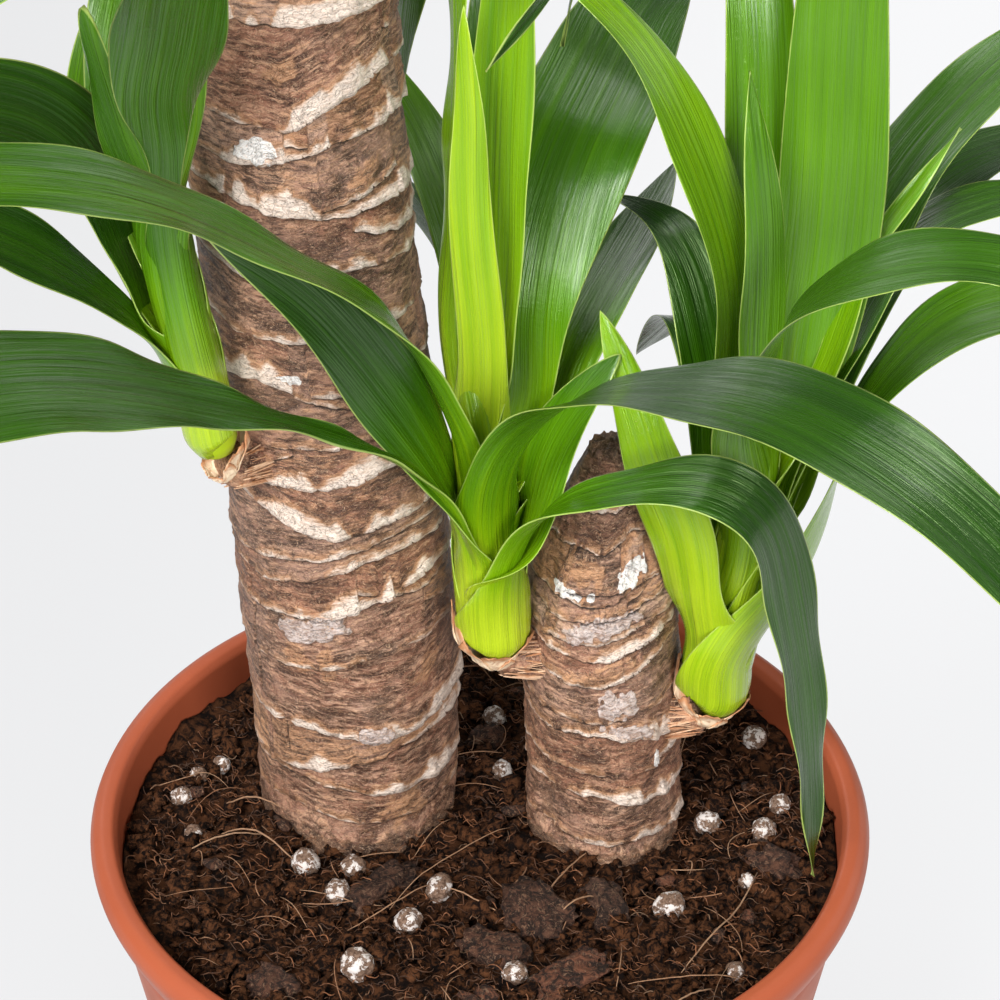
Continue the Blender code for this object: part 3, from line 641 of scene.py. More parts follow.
# Scars and flakes that break the pattern: turn, height, half width in degrees, half height, rise to
# the right, how far it stands out, and what it is
TALL_SPOTS = [(-109, 375.5, 13, 3.8, 0.3, 1.2, "white"), (-108.5, 375.3, 1.6, 0.8, 0, -0.5, "dark"),
              (-105, 234.2, 20, 4.0, 0.6, 1.4, "lilac"), (-77, 199, 13, 2.7, 0, 0.8, "lilac"),
              (-99, 223, 4.5, 8.5, 0, 0.2, "gold"), (-91, 396, 9, 3.5, 2, 0.3, "gold"),
              (-116, 224, 9, 5, -1.5, 0.1, "gold"), (-98, 249, 15, 2.4, 1.5, 0.0, "murk"),
              (-100, 270, 26, 3.6, 1.5, 0.5, "murk"), (-148, 222, 1.3, 17, 0, -1.4, "dark"),
              (-128, 196, 1.1, 8, -3, -0.8, "dark"), (-72, 207, 12, 5, 1.0, 0.1, "murk"),
              (-60, 360.5, 2.0, 1.2, 0, -0.6, "dark"), (-88, 361.2, 2.2, 0.8, 0, -0.6, "dark"),
              (-75, 357.8, 5, 0.8, 0, -0.4, "dark"), (-50, 366, 14, 3.4, 2, 0.3, "gold"),
              (-60, 170, 15, 6, 0, 0.1, "gold"), (-103, 310.5, 7, 1.6, 0, 0.4, "white"),
              (-40, 215, 14, 5, 4, 0.2, "gold"), (100, 300, 14, 4, 0, 0.8, "lilac"),
              (60, 240, 16, 4, 1, 0.8, "lilac"), (150, 350, 13, 4, 0, 0.9, "white")]
SHORT_SPOTS = [(-64, 252.0, 15, 3.6, 1.6, 0.5, "white"), (-61, 251.5, 1.6, 1.6, 0, -0.5, "dark"),
               (-120, 247.2, 12, 2.0, -0.8, 0.4, "white"), (-100, 247, 4, 1.6, 0, 0.3, "white"),
               (-86, 246.5, 17, 2.6, 1.2, 0.9, "purple"), (-112, 252.5, 22, 4.2, 0, 0.4, "gold"),
               (-56, 259, 17, 2.4, 4.5, 1.0, "tan"), (-88, 237.5, 33, 3.6, 2.4, 0.8, "lilac"),
               (-78, 211.8, 17, 4.2, 0, 0.3, "lilac"), (-72, 203.0, 22, 2.0, -2, 0.4, "lilac"),
               (-47, 190, 3.5, 2.2, 1, 0.3, "white"), (-135, 238, 14, 5, 0, -0.6, "murk"),
               (-92, 222.8, 28, 2.2, 2.5, 0.9, "gold"), (-100, 195, 20, 4, 0, 0.1, "murk"),
               (-140, 172, 12, 8, 0, -0.8, "murk"), (70, 215, 15, 4, 0, 0.7, "lilac"),
               (130, 240, 14, 3, 0, 0.6, "white")]
BARK_GREY = (0.369, 0.211, 0.151)
BARK_GREY_DEEP = (0.0697, 0.0357, 0.0229)
BARK_RED = (0.333, 0.139, 0.081)
BARK_RED_DEEP = (0.0723, 0.0263, 0.0136)
BARK_TAN = (0.74, 0.500, 0.375)
BARK_GOLD = (0.58, 0.290, 0.135)
BARK_MURK = (0.060, 0.032, 0.021)
# Colour of the painted shadow just under each lip
BARK_SHADE = (0.022, 0.012, 0.008)
WRINKLE_BROWN = (0.34, 0.165, 0.085)
CRACK_BROWN = (0.130, 0.062, 0.037)
PIT_BROWN = (0.085, 0.042, 0.026)
CURL_STRAW = (0.78, 0.52, 0.33)
LIP_CREAM = (0.93, 0.785, 0.675)
SCAR_LILAC = (0.70, 0.59, 0.55)
SCAR_TAN = (0.38, 0.26, 0.21)
SCAR_WHITE = (0.92, 0.88, 0.84)
# What a spot does to its mark (which of the three, how strongly) or to the look of the plate
SPOT_MARKS = {"white": (0, 1.0), "lilac": (1, 1.0), "dark": (2, 1.0), "murk": (2, 0.42)}
SPOT_LOOKS = {"gold": (0.6, 0.6, 0.85), "tan": (0.3, 1.1, 0.75), "purple": (0.2, 0.3, 0.0)}
SPOTS_UNDER_LIPS = ("gold", "dark", "murk")
LIP_APART = 2.0               # a lip nearer than this to the one below it joins that one
LIP_EDGE = 0.13               # half the height of the step at a lip
LIP_WIDEST = 9.0              # the most that a lip's pale edge can be
FOOT_DARK_FROM, FOOT_DARK_TO = 159, 164    # heights between which the bark's darkening at its foot fades out
# The broken top of a cane: its rings as shares of the radius and how high each rises
TOP_RINGS = ((0.97, 0.3), (0.86, 0.7), (0.7, 0.9), (0.45, 1.2), (0.2, 1.3), (0.02, 1.3))
TOP_MARKS = {"lip": (0.0, -2.0, 3.0), "plate": (0.3, 0.25, 0.1), "scar": (0.0, 0.0, 0.3)}
# Points round each cane and the heights between its rows of points. The photograph shows the tall cane
# only up to a height, and above that its rows are coarser.
TALL_SIDES = 190
SHORT_SIDES = 176
TALL_SEEN = 414
TALL_STEP, TALL_STEP_ABOVE, SHORT_STEP = 0.85, 2.2, 0.7


def cane_at(line, z):
    """Middle and radius of a cane at heights z."""
    heights = [row[2] for row in line]
    return [np.interp(z, heights, [row[k] for row in line]) for k in (0, 1, 3)]


def hairlines(tree, place, scale, thin, detail, wild):
    """Thin wandering lines, 1 on a line and 0 off it."""
    field = mottle(tree, place, scale, detail, 0.55, wild)
    off = sums(tree, "ABSOLUTE", sums(tree, "SUBTRACT", field, 0.5), 0.0)
    return ranged(tree, off, 0.0, thin, 1.0, 0.0)


def varied(tree, value, texture, amount):
    """A value that a mottle moves up and down by half an amount."""
    shift = sums(tree, "MULTIPLY", sums(tree, "SUBTRACT", texture, 0.5), amount)
    return sums(tree, "ADD", value, shift)


def along_lips(tree, place, above):
    """The place with its height mostly taken from the lip below, for streaks that follow the lips."""
    x, y, z = split(tree, place)
    whole = tree.nodes.new("ShaderNodeCombineXYZ")
    tree.links.new(x, whole.inputs[0])
    tree.links.new(y, whole.inputs[1])
    rise = sums(tree, "ADD", sums(tree, "MULTIPLY", z, 1.2), sums(tree, "MULTIPLY", above, 0.004))
    tree.links.new(rise, whole.inputs[2])
    return whole.outputs[0]


def plate_color(tree, look, dark, streak, cloud, patch):
    """A plate of bark: grey or red, worn tan or gold in streaks along the lips, and murky in places."""
    warm, light, gold = look
    deep = sums(tree, "ADD", sums(tree, "MULTIPLY", cloud, 0.6), sums(tree, "MULTIPLY", streak, 0.4))
    depth = ranged(tree, deep, 0.42, 0.59)
    grey = layered(tree, depth, BARK_GREY_DEEP, BARK_GREY)
    red = layered(tree, depth, BARK_RED_DEEP, BARK_RED)
    color = layered(tree, ranged(tree, varied(tree, warm, patch, 2.0), 0.1, 0.9), grey, red)
    worn = ranged(tree, varied(tree, light, streak, 3.0), 0.35, 1.25, 0.0, 0.80)
    color = layered(tree, worn, color, BARK_TAN)
    glow = ranged(tree, varied(tree, gold, streak, 2.6), 0.30, 1.1, 0.0, 0.75)
    color = layered(tree, glow, color, BARK_GOLD)
    murk = ranged(tree, varied(tree, dark, cloud, 1.6), 0.26, 0.62, 0.0, 0.85)
    return layered(tree, murk, color, BARK_MURK)


def bark_finish():
    """Bark: mottled plates, pale torn lips with painted shadow under them, scars, curly fibres and cracks.
    """
    finish, tree, shader = new_finish("cane bark", BARK_GREY, 0.6)
    shader.inputs["Specular IOR Level"].default_value = 0.45
    above, pale, below = split(tree, mark(tree, "lip"))
    white, lilac, dark = split(tree, mark(tree, "scar"))
    place = object_place(tree)
    along = along_lips(tree, place, above)
    streak = mottle(tree, along, 150, 5, 0.66, 0.7)
    wrinkle = mottle(tree, along, 420, 3, 0.6, 0.5)
    fibre = mottle(tree, stretched(tree, place, 1, 1, 2.2), 300, 7, 0.72, 1.4)
    cloud = mottle(tree, stretched(tree, place, 1, 1, 1.7), 85, 6, 0.66, 0.8)
    patch = mottle(tree, stretched(tree, place, 1, 1, 1.4), 48, 4, 0.6, 0.6)
    grain = mottle(tree, place, 700, 4, 0.7, 1.0)
    crack = hairlines(tree, place, 240, 0.020, 4, 1.6)
    curl = hairlines(tree, stretched(tree, place, 1, 1, 1.5), 330, 0.022, 2, 2.5)

    color = plate_color(tree, split(tree, mark(tree, "plate")), dark, streak, cloud, patch)
    torn = varied(tree, varied(tree, pale, streak, 5.0), fibre, 2.0)
    color = layered(tree, ranged(tree, torn, -2.4, 0.2, 0.0, 0.80), color, BARK_GOLD)
    color = layered(tree, ranged(tree, torn, -0.7, 1.3, 0.0, 0.95), color, LIP_CREAM)
    wrinkled = sums(tree, "MULTIPLY", ranged(tree, wrinkle, 0.50, 0.62), 0.36)
    color = layered(tree, wrinkled, color, WRINKLE_BROWN)
    scar = layered(tree, ranged(tree, fibre, 0.38, 0.6), SCAR_TAN, SCAR_LILAC)
    color = layered(tree, ranged(tree, varied(tree, lilac, cloud, 0.9), 0.35, 0.6), color, scar)
    color = layered(tree, ranged(tree, white, 0.4, 0.6), color, SCAR_WHITE)
    color = layered(tree, sums(tree, "MULTIPLY", crack, 0.22), color, CRACK_BROWN)
    color = layered(tree, sums(tree, "MULTIPLY", curl, 0.65), color, CURL_STRAW)
    pitted = sums(tree, "MULTIPLY", ranged(tree, grain, 0.56, 0.68), 0.32)
    color = layered(tree, pitted, color, PIT_BROWN)
    # Painted shadow: the bark darkens just under each lip, where the lip above overhangs
    shade = ranged(tree, varied(tree, below, grain, 1.6), 0.25, 1.15, 0.92, 0.0)
    color = layered(tree, shade, color, BARK_SHADE)
    put(tree, shader.inputs["Base Color"], color)
    put(tree, shader.inputs["Roughness"], ranged(tree, streak, 0.35, 0.65, 0.46, 0.70))

    first = relief(tree, shader, streak, 1.0)
    second = relief(tree, shader, wrinkle, 0.5, first)
    third = relief(tree, shader, fibre, 0.45, second)
    fourth = relief(tree, shader, grain, 0.2, third)
    relief(tree, shader, sums(tree, "SUBTRACT", 1.0, crack), 0.25, fourth)
    return finish


def ease(start, end, value):
    """Rise smoothly from 0 at start to 1 at end."""
    x = np.clip((value - start) / (end - start), 0, 1)
    return x * x * (3 - 2 * x)


def around_cane(values, turns):
    """A value given at LIP_TURNS, drawn smoothly round the cane."""
    rough = np.interp(np.degrees(turns), LIP_TURNS, values, period=360)
    window = np.hanning(21) / np.hanning(21).sum()
    return np.convolve(np.tile(rough, 3), window, "same")[len(turns):2 * len(turns)]


def wander(turns, height, size, seed, reach=26):
    """Smooth noise round the cane at given heights, with bumps of a size in millimetres."""
    heights = np.broadcast_to(height, len(turns))
    spots = [(math.cos(t) * reach / size, math.sin(t) * reach / size, h / size + seed)
             for t, h in zip(turns, heights)]
    return np.array([noise.noise(Vector(spot)) for spot in spots])


def high_lips(start, top, turns, rng):
    """Lips one over another from a height up to a cane's top, out of the photograph's view."""
    lips = []
    z = start
    while z < top - 5:
        slope = rng.uniform(1, 5) * np.cos(turns + rng.uniform(0, 6.3))
        slope = slope + rng.uniform(0, 2) * np.cos(2 * turns)
        look = (rng.random(), rng.uniform(0.3, 0.7), 0.6 * rng.random())
        lips.append((z + slope, np.full(len(turns), rng.uniform(0.4, 3.4)), look))
        z += rng.uniform(9, 15)
    return lips


def short_lip(foot, top, turns, rng):
    """A lip that runs only part of the way round, lowest in its middle."""
    centre, half = rng.uniform(-math.pi, math.pi), rng.uniform(0.35, 0.95)
    across = ((turns - centre + math.pi) % (2 * math.pi) - math.pi) / half
    height = rng.uniform(foot + 8, top - 8) + rng.uniform(1.5, 4.5) * across ** 2
    height = height + rng.uniform(-2, 3) * across
    look = (rng.random(), rng.uniform(0.2, 0.6), 0.7 * rng.random())
    pale = np.full(len(turns), rng.uniform(0.2, 1.6))
    return np.where(np.abs(across) < 1, height, np.nan), pale, look


def bark_lips(table, turns, foot, top, short_lips, rng):
    """Every lip of a cane as its heights and pale edge round the cane and the look of its plate."""
    lips = [(around_cane(heights, turns), around_cane(pales, turns), look) for heights, pales, look in table]
    lips += high_lips(max(table[-1][0]) + 13, top, turns, rng)
    lips += [short_lip(foot, top, turns, rng) for k in range(short_lips)]
    ragged = []
    for k, (height, pale, look) in enumerate(lips):
        height = height + 0.9 * wander(turns, 0, 7, 3.1 * k) + 0.5 * wander(turns, 0, 2.2, 5.3 * k)
        pale = 1.3 * pale * (0.95 + 1.7 * wander(turns, 0, 11, 7.7 * k) + 0.9 * wander(turns, 0, 4, 2.3 * k))
        pale = pale + 0.9 * wander(turns, 0, 2.2, 1.9 * k)
        ragged.append((height, pale, look))
    return ragged


def lips_up(lips, c):
    """The lips met on the way up column c of a cane, and the most that each one's pale edge can be."""
    column, room = [], []
    for height, k in sorted((lip[0][c], k) for k, lip in enumerate(lips) if not math.isnan(lip[0][c])):
        if not column or height > column[-1][0] + LIP_APART:
            column.append((height, k))
            room.append(LIP_WIDEST)
        else:
            room[-1] = min(room[-1], 1.0 + 3.5 * (LIP_APART - height + column[-1][0]))
    return column, room


def plates_up(lips, c, rows, top):
    """Move the heights of column c to its lips; give its marks, looks and how far the bark stands out."""
    column, room = lips_up(lips, c)
    heights = np.array([height for height, k in column])
    for height in heights:
        near = min(max(int(np.searchsorted(rows, height)), 1), len(rows) - 1)
        rows[near - 1] = height - LIP_EDGE
        rows[near] = height + LIP_EDGE
    owner = np.searchsorted(heights, rows) - 1
    owned = np.clip(owner, 0, None)
    above = np.where(owner < 0, 6, rows - heights[owned])
    below = np.append(heights, top + 30)[owner + 1] - rows
    apart = np.diff(heights, prepend=heights[0] - 9)
    pales = np.array([lips[k][1][c] for height, k in column]) * ease(1.5, 5.5, apart)
    pales = np.minimum(pales, room)[owned]
    pales = np.minimum(pales, 0.5 * (above + below))
    pale = np.where((owner < 0) | (pales < 0.1), -2.0, pales - above)
    lip_marks = np.stack([above, np.clip(pale, -2, 3), np.minimum(below, 3)], -1)
    looks = np.array([lips[k][2] for height, k in column])[owned]
    gap = np.clip(above + below, 2, 22)
    share = above / gap
    proud = (0.55 + 0.22 * pales) * np.clip(gap / 7, 0.3, 1)
    step = proud * np.clip(1 - share, 0, 1) ** 1.5 - 0.4 * proud * share
    return lip_marks, looks, step


def add_spots(spots, turns, rows, frayed, lip_marks, looks):
    """Lay scars and flakes over the lips and plates; give their own marks and how far they stand out."""
    scars = np.zeros((*rows.shape, 3))
    stand = np.zeros(rows.shape)
    for turn, height, wide, tall, rise, out, kind in spots:
        across = ((np.degrees(turns) - turn + 180) % 360 - 180) / wide
        up = (rows - height - rise * across) / tall
        inside = 1 - ease(0.72, 1.1, np.hypot(across, up) + 0.55 * frayed)
        stand += out * inside
        if kind in SPOT_MARKS:
            which, strength = SPOT_MARKS[kind]
            scars[..., which] = np.maximum(scars[..., which], strength * inside)
        else:
            looks += (np.array(SPOT_LOOKS[kind]) - looks) * inside[..., None]
        if kind not in SPOTS_UNDER_LIPS:
            lip_marks[..., 1] = np.minimum(lip_marks[..., 1], 1.5 - 3.5 * inside)
    return scars, stand


def round_cane(x, y, radius, z, turns):
    """Points round a cane's middle at a radius and heights z."""
    across, deep = x + radius * np.cos(turns), y + radius * np.sin(turns)
    return np.stack([across, deep, np.broadcast_to(z, across.shape)], -1).reshape(-1, 3)


def broken_top(line, turns):
    """Rings of points over the dry, crumbled end of a cane."""
    top = line[-1][2]
    x, y, radius = (float(v) for v in cane_at(line, top))
    rings = []
    for share, rise in TOP_RINGS:
        ring = radius * share
        crumbled = 1.1 * wander(turns, 0, 2.6, share * 3, ring) + 2.6 * wander(turns, 0, 1.2, share, ring)
        rings.append(round_cane(x, y, ring, top + rise * 1.4 + crumbled * 0.6, turns))
    return rings


def make_cane(name, line, levels, sides, table, spots, finish, *nodes, short_lips, seed):
    """The bark of a cane: overlapping plates with proud lips, scars and flakes, and a dry broken top."""
    foot, top = line[0][2], line[-1][2]
    phase = np.arange(sides) * 2 * math.pi / sides - math.pi
    turns = -math.pi / 2 + phase - 0.42 * np.sin(phase)
    lips = bark_lips(table, turns, foot, top, short_lips, random.Random(seed))
    rows = np.repeat(np.array(levels)[:, None], sides, 1)
    columns = [plates_up(lips, c, rows[:, c], top) for c in range(sides)]
    lip_marks, looks, step = (np.stack(grid, 1) for grid in zip(*columns))

    rough = np.array([0.55 * wander(turns, row, 4.5, 0) + 0.30 * wander(turns, row, 1.3, 9) for row in rows])
    frayed = np.array([wander(turns, row, 3.2, 4) + 0.6 * wander(turns, row, 1.4, 6) for row in rows])
    scars, stand = add_spots(spots, turns, rows, frayed, lip_marks, looks)
    # The bark is darker at its foot, fading out between these heights
    foot_dark = 0.75 * (1 - ease(FOOT_DARK_FROM, FOOT_DARK_TO, rows + 4 * frayed))
    scars[..., 2] = np.maximum(scars[..., 2], foot_dark)

    x, y, radius = cane_at(line, rows)
    swell = 0.5 * np.sin(3 * turns + rows / 31) + 0.4 * np.sin(5 * turns - rows / 17)
    fade = np.clip(radius / 14, 0, 1)
    bark = np.maximum(radius + (step + stand + rough + swell) * fade, 1.5)
    foot_x, foot_y, foot_radius = (float(v) for v in cane_at(line, foot))
    points = [round_cane(foot_x, foot_y, foot_radius, CANE_FOOT, turns), round_cane(x, y, bark, rows, turns)]
    points = np.concatenate(points + broken_top(line, turns))
    faces = tube_faces(len(points) // sides, sides)
    marks = {}
    for label, grid in (("lip", lip_marks), ("plate", looks), ("scar", scars)):
        over = np.tile(TOP_MARKS[label], (sides * len(TOP_RINGS), 1))
        marks[label] = np.concatenate([grid[0], grid.reshape(-1, 3), over])
    return make_piece(name, points, faces, marks, finish, "bark", *nodes)


bark = bark_finish()
tall_top, short_top = TALL_CANE[-1][2], SHORT_CANE[-1][2]
tall_levels = np.concatenate([np.arange(SOIL_TOP, TALL_SEEN, TALL_STEP),
                              np.arange(TALL_SEEN, tall_top, TALL_STEP_ABOVE), [tall_top]])
short_levels = np.concatenate([np.arange(SOIL_TOP, short_top, SHORT_STEP), [short_top]])
make_cane("cane_tall_bark", TALL_CANE, tall_levels, TALL_SIDES, TALL_LIPS, TALL_SPOTS, bark, "cane_tall",
          short_lips=16, seed=12)
make_cane("cane_short_bark", SHORT_CANE, short_levels, SHORT_SIDES, SHORT_LIPS, SHORT_SPOTS, bark,
          "cane_short", short_lips=7, seed=5)


# The leafy shoots
# Each shoot is a tuft of tough, waxy leaves. Their pale bases clasp the shoot one over another like
# a sheath, narrow to a channelled neck and widen into long blades that end in a point.
# A shoot has the place of its foot, the way it leans, the least shade of its leaves (base), how stout
# its sheath is (girth), how soon its leaves turn green (greening), and its leaves. A leaf is (side it
# grows from in degrees, height of its root, length of its sheath, width, width of its neck as a share,
# twist in degrees, shade from pale 0 to dark 1, points that its middle line passes through from the
# foot), and for some the shares of its length between which it widens
LEFT_SHOOT = dict(foot=(-65, -3, 288), lean=(-0.13, -0.06, 1), base=0.15, girth=0.76, greening=1.8, leaves=[
    (-80, 18, 50, 33, 0.13, 0, 0.85, [(-7, -15, 96), (-7, -21, 111), (-4, -28, 127), (-1, -36, 142),
                                      (6, -55, 172), (12, -70, 190)], 0.32, 0.66),
    (-140, 30, 40, 20, 0.8, 20, 0.8, [(-12, -7, 75), (-15, -9, 88), (-19, -11, 105), (-22, -12, 120),
                                      (-24, -12, 131)]),
    (170, 16, 14, 26, 0.4, -25, 1.0, [(-15, 2, 37), (-18, 4, 48), (-22, 4, 64), (-27, 3, 83), (-37, 0, 96),
                                      (-52, -8, 105), (-100, -25, 106)]),
    (-160, 4, 10, 21, 0.5, -30, 0.95, [(-13, -3, 32), (-21, -7, 47), (-34, -13, 63), (-47, -20, 76),
                                       (-65, -32, 88), (-100, -50, 96)]),
    (-100, 56, 18, 24, 0.4, 0, 0.6, [(-4, -10, 100), (-5, -17, 132), (-10, -32, 155), (-20, -50, 164),
                                     (-39, -72, 163), (-66, -105, 150)]),
    (105, 30, 18, 26, 0.5, 0, 0.7, [(-20, 28, 72), (-11, 74, 112), (15, 136, 98)]),
    (120, 16, 16, 26, 0.5, 0, 0.6, [(-23, 26, 56), (-23, 68, 84), (-15, 121, 62)]),
    (100, 50, 14, 12, 0.7, 0, 0.5, [(-12, 1, 94), (-13, 3, 110), (-14, 5, 122)]),
])
MIDDLE_SHOOT = dict(foot=(4, 0, 226), lean=(-0.06, -0.05, 1), base=0.0, girth=1.0, greening=1.0, leaves=[
    (-130, 6, 8, 42, 0.15, -45, 0.85, [(-9, -11, 43), (-29, -34, 84), (-65, -70, 122), (-104, -112, 155),
                                       (-155, -164, 168)], 0.38, 0.85),
    (-75, 22, 14, 31, 0.5, 40, 0.98, [(0, -16, 60), (7, -24, 82), (21, -36, 100), (42, -55, 115),
                                      (63, -75, 124), (85, -96, 124), (108, -115, 113), (149, -150, 74)]),
    (-140, 30, 10, 27, 0.5, -30, 0.7, [(-7, -9, 58), (-13, -16, 86), (-26, -28, 118), (-44, -43, 141),
                                       (-71, -67, 172), (-102, -97, 197), (-160, -148, 222)], 0.4, 0.85),
    (-165, 16, 14, 24, 0.7, -60, 1.0, [(-10, -6, 45), (-17, -13, 70), (-29, -23, 99), (-45, -32, 127),
                                       (-66, -42, 150)]),
    (-60, 1, 5, 19, 0.62, 80, 1.0, [(4, -12, 29), (10, -17, 49), (17, -21, 58), (29, -25, 65), (50, -29, 70),
                                     (64, -31, 63), (72, -30, 40), (78, -28, 7), (84, -25, -60)]),
    (-95, 46, 16, 13, 0.9, 0, 0.24, [(-3, -3, 86), (-5, 0, 117), (-6, 3, 137), (-6, 5, 154), (-7, 8, 173),
                                    (-7, 10, 180)]),
    (-150, 54, 14, 13, 0.8, 0, 0.45, [(-12, 6, 91), (-11, 10, 110), (-10, 14, 134), (-9, 18, 152),
                                      (-9, 24, 174), (-10, 40, 225)]),
    (80, 34, 12, 39, 0.3, 0, 0.75, [(7, 8, 64), (9, 12, 88), (13, 24, 112), (20, 38, 128), (27, 52, 136),
                                    (36, 78, 141), (52, 130, 130)], 0.15, 0.55),
    (47, 23, 14, 24, 0.4, 0, 0.75, [(10, 10, 54), (19, 20, 76), (33, 50, 86), (49, 95, 88)]),
    (95, 30, 18, 22, 0.6, 0, 0.75, [(0, 28, 78), (-2, 50, 106), (-2, 70, 133), (-3, 95, 148)]),
    (126, 17, 16, 26, 0.5, 0, 0.85, [(1, 24, 64), (-13, 62, 84), (-35, 104, 88)]),
    (112, 22, 16, 20, 0.5, 0, 0.55, [(-4, 24, 81), (-14, 55, 109), (-24, 80, 118), (-38, 110, 123)]),
    (64, 51, 18, 18, 0.6, 0, 0.4, [(0, 4, 84), (2, 12, 136), (4, 18, 184), (7, 34, 250)]),
    (-22, 13, 12, 22, 0.6, 60, 1.0, [(9, -6, 42), (13, -5, 61), (21, -3, 77), (31, 0, 89)]),
    (95, 6, 14, 26, 0.5, 0, 0.7, [(0, 22, 46), (7, 70, 64), (11, 135, 38)]),
])
RIGHT_SHOOT = dict(foot=(61, 4, 203), lean=(0.12, -0.03, 1), base=0.17, girth=1.0, greening=1.0, leaves=[
    (80, 34, 20, 30, 0.55, 0, 0.56, [(15, 9, 62), (22, 11, 96), (25, 13, 128), (26, 16, 158), (26, 20, 196),
                                     (30, 40, 270)]),
    (150, 40, 30, 27, 0.75, 0, 0.40, [(2, 3, 98), (2, 3, 123), (-3, 5, 147), (-12, 9, 170), (-23, 15, 188),
                                      (-50, 32, 207)]),
    (40, 28, 18, 30, 0.6, 0, 0.8, [(18, 12, 77), (28, 22, 102), (39, 36, 125), (56, 50, 145),
                                   (110, 90, 174)]),
    (50, 18, 18, 32, 0.55, 0, 0.9, [(18, 16, 67), (30, 30, 96), (44, 50, 113), (62, 70, 120),
                                    (115, 120, 104)]),
    (15, 22, 18, 28, 0.55, 0, 0.8, [(20, 8, 72), (31, 16, 102), (46, 26, 124), (72, 36, 132),
                                    (120, 60, 120)]),
    (-70, 36, 28, 25, 0.7, 40, 0.8, [(5, -12, 90), (6, -22, 116), (13, -32, 140), (25, -43, 158),
                                     (40, -53, 169), (57, -63, 174), (110, -95, 164)]),
    (-50, 1, 6, 29, 0.8, 50, 0.65, [(7, -8, 18), (18, -6, 38), (27, -2, 60), (33, 1, 84), (42, 1, 102),
                                    (56, 0, 118), (80, -8, 129), (135, -25, 122)]),
    (110, 30, 16, 24, 0.6, 0, 1.0, [(2, 14, 70), (1, 16, 86), (-2, 21, 102), (-6, 30, 115), (-13, 40, 123),
                                    (-26, 53, 123)]),
    (110, 12, 16, 22, 0.5, 0, 1.0, [(2, 16, 58), (0, 25, 84), (-5, 42, 92), (-11, 58, 80), (-18, 72, 62)]),
    (-140, 8, 12, 19, 0.7, 50, 0.4, [(-6, -9, 37), (-10, -14, 63), (-17, -14, 83), (-23, -8, 101),
                                     (-31, 2, 121)]),
    (30, 50, 20, 10, 0.8, 0, 0.5, [(26, 6, 100), (36, 12, 131), (44, 18, 141), (58, 28, 157)]),
    (95, 52, 20, 22, 0.5, 0, 0.6, [(8, 10, 102), (9, 22, 154), (7, 34, 192), (2, 60, 254)]),
    (-60, 56, 20, 16, 0.5, 0, 0.7, [(10, 0, 97), (9, 2, 142), (6, 6, 167), (4, 12, 182)]),
    (75, 6, 14, 28, 0.5, 0, 0.7, [(10, 22, 50), (18, 70, 78), (26, 140, 48)]),
])
# Long leaves of the right crown that hang down
HANGING_LEAVES = [
    (60, 10, 16, 30, 0.5, 0, 0.85, [(14, 18, 52), (24, 30, 74), (32, 38, 66), (30, 40, 30), (20, 34, -20),
                                    (9, 30, -83), (7, 28, -115), (3, 25, -147), (0, 22, -177)]),
    (-20, 16, 16, 20, 0.5, 0, 0.95, [(20, -14, 56), (38, -26, 66), (52, -32, 40), (50, -32, -10),
                                     (47, -30, -56), (48, -31, -91), (36, -33, -114), (22, -34, -134)]),
    (30, 22, 16, 16, 0.6, 0, 0.95, [(24, 6, 62), (42, 12, 66), (54, 16, 30), (52, 18, -40), (47, 18, -90),
                                    (46, 16, -120), (43, 15, -141), (41, 15, -154)]),
]
LEFT_CROWN = dict(foot=(-80, 10, 520), lean=(-0.25, -0.08, 1), base=0.05, girth=1.0, greening=1.0, leaves=[])
RIGHT_CROWN = dict(foot=(-20, 30, 530), lean=(0.25, 0.1, 1), base=0.05, girth=1.0, greening=1.0, leaves=[])
CROWN_LEAVES = 13
CROWN_LEFT_OUT = (3, 5, 7)    # leaves of the right crown that the hanging ones take the place of
SHOOT_CORE = [(0, 3.5), (1.5, 6.0), (5, 7.6), (20, 7.0), (40, 4.0), (52, 1.0)]
CORE_SIDES = 24
CORE_MARKS = (0.0, 0.0, 3.0, 0.05, 9.0, 0.0)
SHOOT_ROWS = 96
CROWN_ROWS = 60
LEAF_THICK = 1.0
CLASP = 2.3                   # half the angle that a leaf's base wraps, in radians
SHEATH_RADIUS = 9.4           # of the lowest leaf; each one higher up sits closer to the core
SHEATH_TAPER = 0.08
LEAF_COLUMNS = np.array([-1, -0.97, -0.88, -0.72, -0.54, -0.36, -0.18, 0,
                         0.18, 0.36, 0.54, 0.72, 0.88, 0.97, 1])
WIDENS = (0.16, 0.56)         # shares of its length between which a leaf widens, unless it has its own
LEAF_LIME = (0.45, 0.585, 0.02)
LEAF_LIGHT = (0.184, 0.34, 0.0027)
LEAF_GREEN = (0.0828, 0.2167, 0.00204)
LEAF_DEEP = (0.0298, 0.103, 0.0018)
LEAF_DARK = (0.00884, 0.03828, 0.00204)
LEAF_EDGE = (0.50, 0.62, 0.16)
LEAF_SHEEN = (0.70, 1.0, 0.45)


def unit(vector):
    """A vector made 1 long."""
    vector = np.asarray(vector, float)
    return vector / np.linalg.norm(vector)


def rosette(outward, seed):
    """Leaves of a crown, as in the CAD part: low ones arch out and droop, high ones stand up."""
    pick = random.Random(seed)
    leaves = []
    for k in range(CROWN_LEAVES):
        level = k / (CROWN_LEAVES - 1)
        side = outward - 105 + (137.5 * k) % 210
        turn = math.radians(side + pick.uniform(-5, 5))
        out = (75 - 60 * level) * pick.uniform(0.9, 1.1)
        far = (205 - 165 * level) * pick.uniform(0.9, 1.1)
        rise = 95 + 70 * level
        high = (60 + 245 * level) * pick.uniform(0.92, 1.08)
        points = [(out * math.cos(turn), out * math.sin(turn), rise),
                  (far * math.cos(turn), far * math.sin(turn), high)]
        twist = pick.uniform(-20, 20)
        shade = 0.9 - 0.5 * level
        leaves.append((side, 6 + 54 * level, 16, 30 - 5 * level, 0.5, twist, shade, points))
    return leaves


